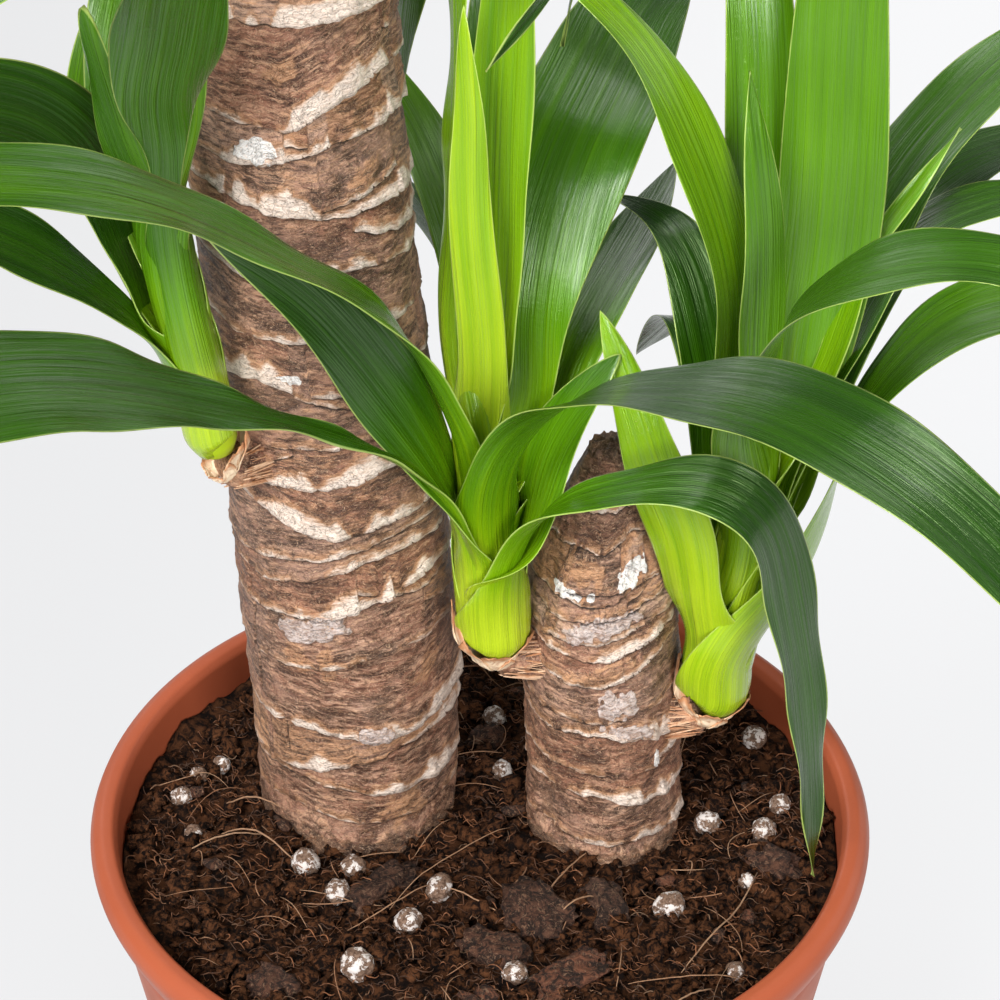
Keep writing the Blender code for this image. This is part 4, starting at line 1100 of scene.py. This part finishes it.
def curve_through(points, count):
    """Evenly spaced points on a natural cubic spline, and their distances along it."""
    points = np.asarray(points, float)
    last = len(points) - 1
    knots = np.concatenate([[0], np.cumsum(np.linalg.norm(np.diff(points, axis=0), axis=1) ** 0.75)])
    steps = np.diff(knots)
    system = np.eye(last + 1)
    bend = np.zeros((last + 1, 3))
    for i in range(1, last):
        system[i, i - 1:i + 2] = (steps[i - 1], 2 * (steps[i - 1] + steps[i]), steps[i])
        bend[i] = 6 * ((points[i + 1] - points[i]) / steps[i] - (points[i] - points[i - 1]) / steps[i - 1])
    moments = np.linalg.solve(system, bend)
    fine = []
    for t in np.linspace(0, knots[-1], 600):
        i = min(int(np.searchsorted(knots, t, side="right")) - 1, last - 1)
        a, b, h = knots[i + 1] - t, t - knots[i], steps[i]
        fine.append((moments[i] * a ** 3 + moments[i + 1] * b ** 3) / (6 * h)
                    + (points[i] / h - moments[i] * h / 6) * a
                    + (points[i + 1] / h - moments[i + 1] * h / 6) * b)
    fine = np.array(fine)
    run = np.concatenate([[0], np.cumsum(np.linalg.norm(np.diff(fine, axis=0), axis=1))])
    places = np.linspace(0, run[-1], count)
    return np.stack([np.interp(places, run, fine[:, k]) for k in range(3)], -1), places


def leaf_line(shoot, leaf, hug, count):
    """A leaf's middle line, out of its sheath and along its blade, its run, and the way across its root."""
    side, root, sheath = leaf[:3]
    foot, axis = np.asarray(shoot["foot"], float), unit(shoot["lean"])
    out = np.array([math.cos(math.radians(side)), math.sin(math.radians(side)), 0])
    out = unit(out - axis * (out @ axis))
    points = [foot + axis * (root - 3) + out * hug * 0.62, foot + axis * (root + 2) + out * hug * 0.97,
              foot + axis * (root + sheath) + out * hug]
    points += [foot + np.asarray(p, float) for p in leaf[7]]
    middle, run = curve_through(points, count)
    return middle, run, unit(np.cross(axis, out))


def carried(middle, across, twist):
    """The ways across a leaf and out of its face, carried along its middle line and twisted about it."""
    along = np.gradient(middle, axis=0)
    along /= np.linalg.norm(along, axis=1)[:, None]
    ways = []
    for step in along:
        across = unit(across - step * (across @ step))
        ways.append(across)
    ways = np.array(ways)
    up = np.cross(along, ways)
    turn = np.radians(twist)[:, None]
    return ways * np.cos(turn) + up * np.sin(turn), up * np.cos(turn) - ways * np.sin(turn)


def leaf_width(leaf, hug, run):
    """Half the width of a leaf along its run, and half the angle that it is folded round there."""
    sheath, width, neck = leaf[2:5]
    narrow_until, wide_from = leaf[8:] or WIDENS
    share = run / run[-1]
    blade = width / 2 * (neck + (1 - neck) * ease(narrow_until, wide_from, share))
    blade = blade * np.clip(1 - share ** 3.2, 0, 1) ** 0.8
    channel = np.radians(13 + 48 * (1 - ease(0.08, 0.36, share)))
    clasped = 1 - ease(0.55 * sheath, sheath + 24, run)
    fold = channel + (CLASP - channel) * clasped ** 1.3
    hugging = hug * (0.62 + 0.38 * ease(0, 6, run))
    half = blade + (hugging * CLASP - blade) * (1 - ease(0.4 * sheath, sheath + 40, run)) ** 1.5
    return half, fold


def leaf_rings(middle, across, up, half, fold, run, seed):
    """Rings of points round a leaf: over its upper face and back under it, with gently waving margins."""
    rng = random.Random(seed)
    phase, wave = rng.uniform(0, 6.3), rng.uniform(36, 60)
    ripple = rng.uniform(0.5, 1.1) * np.sin(run / wave * 2 * math.pi + phase) * ease(40, 90, run)
    thick = LEAF_THICK * (1 - 0.62 * ease(0.1, 1.0, run / run[-1]))
    angle = fold[:, None] * LEAF_COLUMNS
    reach = half[:, None] * np.sin(angle) / fold[:, None]
    rise = half[:, None] * (1 - np.cos(angle)) / fold[:, None] + ripple[:, None] * LEAF_COLUMNS ** 3
    skin = thick[:, None] / 2 * (1 - np.abs(LEAF_COLUMNS) ** 5) ** 0.5
    layers = []
    for face in (1, -1):
        wide = reach - face * skin * np.sin(angle)
        deep = rise + face * skin * np.cos(angle)
        layers.append(middle[:, None] + across[:, None] * wide[..., None] + up[:, None] * deep[..., None])
    return np.concatenate([layers[0], layers[1][:, -2:0:-1]], axis=1)


def leaf_marks(shoot, leaf, run, half, seed):
    """For each point of a leaf: place on the blade, a number of its own, shade and distance to the edge."""
    root, shade = leaf[1], leaf[6]
    places = np.concatenate([LEAF_COLUMNS, LEAF_COLUMNS[-2:0:-1]])
    under = np.arange(len(places)) >= len(LEAF_COLUMNS)
    grow = shoot["greening"] * run
    grown = 0.45 * ease(8, 50, 0.4 * root + grow) + 0.55 * ease(38, 125, 0.6 * root + grow)
    tone = np.clip(shade * grown, shoot["base"], 1)[:, None] * (1 - 0.12 * under)
    margin = half[:, None] * (1 - np.abs(places))
    marks = [places * half[:, None], run[:, None], 7.3 * (seed % 97), tone, margin, 0.0]
    return np.stack(np.broadcast_arrays(*marks), -1)


def make_leaf(shoot, leaf, count, seed):
    """One leaf as a closed thin skin, with the numbers that its finish reads."""
    hug = (SHEATH_RADIUS - SHEATH_TAPER * leaf[1]) * shoot["girth"]
    middle, run, across = leaf_line(shoot, leaf, hug, count)
    across, up = carried(middle, across, leaf[5] * ease(0.05, 0.6, run / run[-1]))
    half, fold = leaf_width(leaf, hug, run)
    rings = leaf_rings(middle, across, up, half, fold, run, seed)
    marks = leaf_marks(shoot, leaf, run, half, seed)
    return rings.reshape(-1, 3), tube_faces(count, rings.shape[1]), marks.reshape(-1, 6)


def shoot_core(shoot):
    """The pale heart that the leaves clasp."""
    foot, axis = np.asarray(shoot["foot"], float), unit(shoot["lean"])
    side = unit(np.cross(axis, (0, 1, 0)))
    other = np.cross(axis, side)
    turns = np.arange(CORE_SIDES) * 2 * math.pi / CORE_SIDES
    ring = np.outer(np.cos(turns), side) + np.outer(np.sin(turns), other)
    rows = [foot + axis * height + radius * shoot["girth"] * ring for height, radius in SHOOT_CORE]
    return np.concatenate(rows), tube_faces(len(rows), CORE_SIDES), CORE_MARKS


def leaf_finish():
    """Waxy leaf: lime at the base, deep green above, with fine lengthwise veins and a pale edge."""
    finish, tree, shader = new_finish("yucca leaf", LEAF_GREEN, 0.33)
    place = mark(tree, "blade")
    tone, margin = split(tree, mark(tree, "look"))[:2]
    vein = mottle(tree, stretched(tree, place, 2.6, 0.012, 1), 1.0, 3, 0.6)
    band = mottle(tree, stretched(tree, place, 0.42, 0.008, 1), 1.0, 3, 0.5)
    cloud = mottle(tree, stretched(tree, place, 0.05, 0.02, 1), 1.0, 2)
    dimple = mottle(tree, stretched(tree, place, 0.55, 0.9, 1), 1.0, 3, 0.6)
    shaded = varied(tree, varied(tree, varied(tree, tone, band, 0.34), vein, 0.22), cloud, 0.16)
    ramp = tree.nodes.new("ShaderNodeValToRGB")
    stops = ramp.color_ramp.elements
    stops[0].position, stops[0].color = 0.0, (*LEAF_LIME, 1)
    stops[1].position, stops[1].color = 1.0, (*LEAF_DARK, 1)
    for position, color in ((0.25, LEAF_LIGHT), (0.5, LEAF_GREEN), (0.75, LEAF_DEEP)):
        stop = stops.new(position)
        stop.color = (*color, 1)
    tree.links.new(shaded, ramp.inputs[0])
    edge = ranged(tree, margin, 0.12, 0.42, 0.6, 0.0)
    put(tree, shader.inputs["Base Color"], layered(tree, edge, ramp.outputs["Color"], LEAF_EDGE))
    put(tree, shader.inputs["Roughness"], ranged(tree, vein, 0.35, 0.65, 0.13, 0.33))
    put(tree, shader.inputs["Specular IOR Level"], 0.5)
    put(tree, shader.inputs["Specular Tint"], LEAF_SHEEN)
    put(tree, shader.inputs["Coat Weight"], ranged(tree, vein, 0.38, 0.62, 0.05, 0.62))
    put(tree, shader.inputs["Coat Roughness"], 0.13)
    put(tree, shader.inputs["Coat Normal"], relief(tree, shader, vein, 0.10))
    first = relief(tree, shader, vein, 0.30)
    second = relief(tree, shader, band, 1.0, first)
    relief(tree, shader, dimple, 0.12, second)
    return finish


def make_shoot(name, shoot, count, finish, *nodes, seed):
    """All the leaves of a shoot round its core."""
    parts = [shoot_core(shoot)]
    parts += [make_leaf(shoot, leaf, count, seed + k) for k, leaf in enumerate(shoot["leaves"])]
    points, faces, marks = gather(parts)
    marks = np.array(marks)
    marks = {"blade": marks[:, :3], "look": marks[:, 3:]}
    return make_piece(name, points, faces, marks, finish, "leaf", *nodes)


LEFT_CROWN["leaves"] = rosette(195, 5)
RIGHT_CROWN["leaves"] = [leaf for k, leaf in enumerate(rosette(15, 8)) if k not in CROWN_LEFT_OUT]
RIGHT_CROWN["leaves"] += HANGING_LEAVES
leaf_green = leaf_finish()
make_shoot("shoot_left_leaves", LEFT_SHOOT, SHOOT_ROWS, leaf_green, "shoot_left", seed=100)
make_shoot("shoot_middle_leaves", MIDDLE_SHOOT, SHOOT_ROWS, leaf_green, "shoot_middle", seed=200)
make_shoot("shoot_right_leaves", RIGHT_SHOOT, SHOOT_ROWS, leaf_green, "shoot_right", seed=300)
make_shoot("crown_left_leaves", LEFT_CROWN, CROWN_ROWS, leaf_green, "crown_left", seed=400)
make_shoot("crown_right_leaves", RIGHT_CROWN, CROWN_ROWS, leaf_green, "crown_right", seed=500)


# The husks
# The foot of each shoot sits in a cup of dry, papery scales, the bases of its first leaves. They hug
# it closely, cream with brown torn edges, and wrinkle into golden fibres where the shoot leaves the cane.
HUSK_CREAM = (0.93, 0.74, 0.52)
HUSK_TAN = (0.54, 0.24, 0.105)
HUSK_BROWN = (0.085, 0.032, 0.014)
FRAY_BROWN = (0.26, 0.11, 0.045)
# Scales of each cup: side in degrees, half width in radians, top height, stand-off
CUP_SCALES = [(-165, 0.95, 11, 0.3), (-95, 1.2, 1.5, 0.25), (-20, 0.95, 4, 0.4), (60, 1.1, 6, 0.3),
              (130, 1.0, 8, 0.4), (-135, 0.55, 6, 0.8), (-60, 0.5, -1.5, 0.75), (-178, 0.35, 15, 0.7),
              (5, 0.5, 2, 0.9)]
LEFT_CUP_SCALES = [(-110, 1.0, -4.2, 0.3), (-35, 0.9, 5, 0.4), (15, 0.7, 10, 0.6), (75, 1.1, 6, 0.4),
                   (150, 1.0, -3, 0.3), (-60, 0.45, 1, 0.8), (-12, 0.35, 8, 1.0)]
# What the scales hug: heights from the shoot's foot, and the radius there
CUP_HEIGHTS = (-8, -6, -4, -2, 0, 3, 6, 12)
CUP_RADII = (2.6, 4.6, 5.9, 6.6, 7.9, 9.8, 9.9, 9.6)
SCALE_FOOT = -8.0
SCALE_THICK = 0.36
SCALE_STEPS = 14
SCALE_COLUMNS = 21
FRAY_COUNT = 70
# The neck under a cup: how far it ends below the shoot's foot, how far below that or the cane's top the
# line to it leaves the cane's middle, the share of that line where the neck starts, its radius there
# and how much it narrows to its end
NECK_END_BELOW = 4.5
NECK_START_BELOW = 5
NECK_START = 0.3
NECK_RADIUS = 8.8
NECK_TAPER = 3.2


def husk_finish():
    """Dry husk: cream streaked with tan, brown along its torn edge; its frayed fibres are golden."""
    finish, tree, shader = new_finish("dry husk", HUSK_CREAM, 0.55)
    rise, edge, golden = split(tree, mark(tree, "husk"))
    place = object_place(tree)
    streak = mottle(tree, stretched(tree, place, 1, 1, 0.3), 520, 4, 0.6, 0.8)
    cloud = mottle(tree, place, 230, 4, 0.6, 0.5)
    color = layered(tree, ranged(tree, streak, 0.46, 0.72), HUSK_CREAM, HUSK_TAN)
    color = layered(tree, golden, color, layered(tree, streak, HUSK_TAN, FRAY_BROWN))
    rim = sums(tree, "ADD", sums(tree, "SUBTRACT", rise, edge), sums(tree, "MULTIPLY", cloud, 0.5))
    color = layered(tree, ranged(tree, rim, 0.62, 0.95), color, HUSK_TAN)
    color = layered(tree, ranged(tree, rim, 0.90, 1.10), color, HUSK_BROWN)
    put(tree, shader.inputs["Base Color"], color)
    relief(tree, shader, streak, 0.25)
    return finish


def sheet_faces(rows, columns):
    """Faces of a closed thin sheet whose two sides are grids of points, one after the other."""
    other = rows * columns
    faces = [tuple(reversed(face)) for face in grid_faces(rows, columns, 0, False)]
    faces += grid_faces(rows, columns, other, False)
    rim = [(0, c) for c in range(columns)] + [(r, columns - 1) for r in range(1, rows)]
    rim += [(rows - 1, c) for c in range(columns - 2, -1, -1)] + [(r, 0) for r in range(rows - 2, 0, -1)]
    rim = [r * columns + c for r, c in rim]
    for a, b in zip(rim, rim[1:] + rim[:1]):
        faces.append((a, b, other + b, other + a))
    return faces


def husk_scale(shoot, scale, seed):
    """One papery scale: a thin sheet that hugs the shoot and ends in a ragged point."""
    side, wide, top, stand = scale
    foot, axis = np.asarray(shoot["foot"], float), unit(shoot["lean"])
    right = unit(np.cross((0, 1, 0), axis))
    back = np.cross(axis, right)
    points, marks = [], []
    for skin in (SCALE_THICK / 2, -SCALE_THICK / 2):
        for i in range(SCALE_STEPS + 1):
            v = i / SCALE_STEPS
            for k in range(SCALE_COLUMNS):
                u = -1 + 2 * k / (SCALE_COLUMNS - 1)
                tear = 0.14 * noise.noise(Vector((u * 4, seed * 1.7, 0)))
                tear += 0.10 * noise.noise(Vector((u * 12, seed, 3)))
                reach = 1 - 0.55 * abs(u) ** 1.7 + tear
                height = SCALE_FOOT + (top - SCALE_FOOT) * v * reach
                hug = np.interp(height, CUP_HEIGHTS, CUP_RADII) * shoot["girth"]
                radius = hug + stand * v ** 0.5 + 0.35 * noise.noise(Vector((u * 3, v * 4, seed)))
                turn = math.radians(side) + u * wide * (1 - 0.2 * v)
                way = right * math.cos(turn) + back * math.sin(turn)
                points.append(foot + axis * height + way * (radius + skin))
                marks.append((v * reach, 0.30 * (1 - abs(u)), 0.0))
    return points, sheet_faces(SCALE_STEPS + 1, SCALE_COLUMNS), marks


def neck_way(line, shoot):
    """Where the neck below a shoot starts in its cane, where it ends, and its two cross directions."""
    end = np.asarray(shoot["foot"], float) - unit(shoot["lean"]) * NECK_END_BELOW
    height = min(end[2], line[-1][2]) - NECK_START_BELOW
    x, y = (float(v) for v in cane_at(line, height)[:2])
    start = np.array([x, y, height])
    start = start + (end - start) * NECK_START
    side = unit(np.cross(end - start, (0, 0, 1)))
    return start, end, side, np.cross(side, unit(end - start))


def neck_radius(t):
    """Radius of a neck at a share of its length."""
    return NECK_RADIUS - NECK_TAPER * t ** 0.8


def fray(line, shoot, count, rng):
    """Golden fibres that lie along the neck, from the cane to the shoot's foot."""
    start, end, side, top = neck_way(line, shoot)
    parts = []
    for k in range(count):
        turn, drift = rng.uniform(0, 2 * math.pi), rng.uniform(-0.7, 0.7)
        first, last = rng.uniform(0.2, 0.5), rng.uniform(0.7, 0.97)
        lift = rng.uniform(0.1, 0.9)
        way = []
        for t in np.linspace(first, last, 8):
            ring = side * math.cos(turn + drift * t) + top * math.sin(turn + drift * t)
            way.append(start + (end - start) * t + ring * (neck_radius(t) + lift))
        fibre = thread(way, rng.uniform(0.5, 1.5), sides=4, flat=0.4)
        parts.append((*fibre, (0.2, 0.5, rng.uniform(0.5, 1))))
    return parts


def make_husk(name, shoot, line, scales, finish, *nodes, seed):
    """The cup of scales and the frayed fibres below a shoot."""
    parts = [husk_scale(shoot, scale, seed + k) for k, scale in enumerate(scales)]
    parts += fray(line, shoot, FRAY_COUNT, random.Random(seed))
    points, faces, marks = gather(parts)
    return make_piece(name, points, faces, {"husk": marks}, finish, "husk", *nodes)


husk = husk_finish()
make_husk("husk_left", LEFT_SHOOT, TALL_CANE, LEFT_CUP_SCALES, husk, "collar_left", seed=11)
make_husk("husk_middle", MIDDLE_SHOOT, SHORT_CANE, CUP_SCALES, husk, "collar_middle", seed=31)
make_husk("husk_right", RIGHT_SHOOT, SHORT_CANE, CUP_SCALES, husk, "collar_right", seed=51)
make_husk("husk_crown_left", LEFT_CROWN, TALL_CANE, CUP_SCALES, husk, "collar_crown_left", seed=71)
make_husk("husk_crown_right", RIGHT_CROWN, TALL_CANE, CUP_SCALES, husk, "collar_crown_right", seed=91)


# The necks
# Each shoot broke out of its cane on a short, wrinkled branch of wood. It grows out of the cane's
# bark, has the same bark itself, and narrows to the foot of the shoot.
NECK_STEPS = 30
NECK_SIDES = 60
NECK_MARKS = {"lip": (0, -2.0, 3.0), "plate": (0.7, 0.6, 0.55), "scar": (0, 0, 0.12)}


def make_neck(name, line, shoot, finish, seed):
    """The woody neck of a shoot."""
    start, end, side, top = neck_way(line, shoot)
    points = []
    for i in range(NECK_STEPS + 1):
        t = i / NECK_STEPS
        for k in range(NECK_SIDES):
            turn = 2 * math.pi * k / NECK_SIDES
            spot = Vector((math.cos(turn) * 2, math.sin(turn) * 2, t * 5 + seed))
            r = neck_radius(t) * (1 + 0.14 * noise.noise(spot) + 0.10 * noise.noise(spot * 3.1))
            r *= 1 - max(0, t - 0.92) * 7
            points.append(start + (end - start) * t + r * (side * math.cos(turn) + top * math.sin(turn)))
    marks = {label: np.tile(values, (len(points), 1)) for label, values in NECK_MARKS.items()}
    return make_piece(name, points, tube_faces(NECK_STEPS + 1, NECK_SIDES), marks, finish, "bark")


make_neck("neck_left", TALL_CANE, LEFT_SHOOT, bark, seed=1)
make_neck("neck_middle", SHORT_CANE, MIDDLE_SHOOT, bark, seed=4)
make_neck("neck_right", SHORT_CANE, RIGHT_SHOOT, bark, seed=7)
make_neck("neck_crown_left", TALL_CANE, LEFT_CROWN, bark, seed=10)
make_neck("neck_crown_right", TALL_CANE, RIGHT_CROWN, bark, seed=13)


# The studio
# A pale floor with a glow of its own that keeps it almost white, one large softbox at the front left,
# small ones at the front right, above and behind, and the camera where the photograph was taken from.
FLOOR_HALF = 6
FLOOR_WHITE = (0.10, 0.10, 0.102)
FLOOR_GLOW_WHITE = (0.985, 0.99, 1.0)
FLOOR_GLOW = (0.64, 0.82)     # from its left to its right
FLOOR_GLOW_REACH = 0.4
AIR_WHITE = (0.95, 0.97, 1, 1)
AIR_GLOW = 0.15
CAMERA_PLACE = Vector((0, -0.7281, 0.7941))
CAMERA_WAY = Vector((0.006, 0.8121, -0.5835)).normalized()
CAMERA_TILT = math.radians(0.42)
# Softboxes: where each hangs, the height on the plant that it is turned to, its size and its power
SOFTBOXES = {
    "key softbox": ((-1.7, -2.3, 2.9), 0.3, 1.8, 210),
    "back left softbox": ((-0.9, 1.9, 1.15), 0.35, 1.2, 9),
    "back right softbox": ((1.75, 1.2, 0.95), 0.35, 1.0, 6),
    "top softbox": ((0.1, 0.3, 2.5), 0.35, 1.2, 25),
    "front softbox": ((0.7, -2.3, 1.3), 0.35, 0.8, 50),
}

floor_mesh = bpy.data.meshes.new("studio_floor")
floor_corners = [(-FLOOR_HALF, -FLOOR_HALF, 0), (FLOOR_HALF, -FLOOR_HALF, 0),
                 (FLOOR_HALF, FLOOR_HALF, 0), (-FLOOR_HALF, FLOOR_HALF, 0)]
floor_mesh.from_pydata(floor_corners, [], [(0, 1, 2, 3)])
floor = bpy.data.objects.new("studio_floor", floor_mesh)
bpy.context.scene.collection.objects.link(floor)
floor_finish, floor_tree, floor_shader = new_finish("studio floor", FLOOR_WHITE, 0.7)
put(floor_tree, floor_shader.inputs["Emission Color"], FLOOR_GLOW_WHITE)
floor_across = split(floor_tree, object_place(floor_tree))[0]
floor_glow = ranged(floor_tree, floor_across, -FLOOR_GLOW_REACH, FLOOR_GLOW_REACH, *FLOOR_GLOW)
put(floor_tree, floor_shader.inputs["Emission Strength"], floor_glow)
floor_mesh.materials.append(floor_finish)

for name, (place, aim_height, size, power) in SOFTBOXES.items():
    light = bpy.data.lights.new(name, "AREA")
    light.shape = "SQUARE"
    light.size = size
    light.energy = power
    softbox = bpy.data.objects.new(name, light)
    softbox.location = place
    toward = Vector((0, 0, aim_height)) - Vector(place)
    softbox.rotation_euler = toward.to_track_quat("-Z", "Y").to_euler()
    softbox.visible_camera = False
    bpy.context.scene.collection.objects.link(softbox)

air = bpy.data.worlds.new("studio air")
bpy.context.scene.world = air
air.use_nodes = True
air.node_tree.nodes["Background"].inputs["Color"].default_value = AIR_WHITE
air.node_tree.nodes["Background"].inputs["Strength"].default_value = AIR_GLOW

camera = bpy.data.objects.new("camera", bpy.data.cameras.new("camera"))
camera.data.lens = 85
camera.data.sensor_width = 24
camera.data.clip_start = 0.01
camera_right = Vector((math.cos(CAMERA_TILT), -math.sin(CAMERA_TILT), 0))
camera_right = (camera_right - CAMERA_WAY * camera_right.dot(CAMERA_WAY)).normalized()
camera_up = camera_right.cross(CAMERA_WAY)
camera_axes = Matrix((camera_right, camera_up, -CAMERA_WAY)).transposed().to_4x4()
camera.matrix_world = Matrix.Translation(CAMERA_PLACE) @ camera_axes
bpy.context.scene.collection.objects.link(camera)
bpy.context.scene.camera = camera
bpy.context.scene.view_settings.view_transform = "Standard"
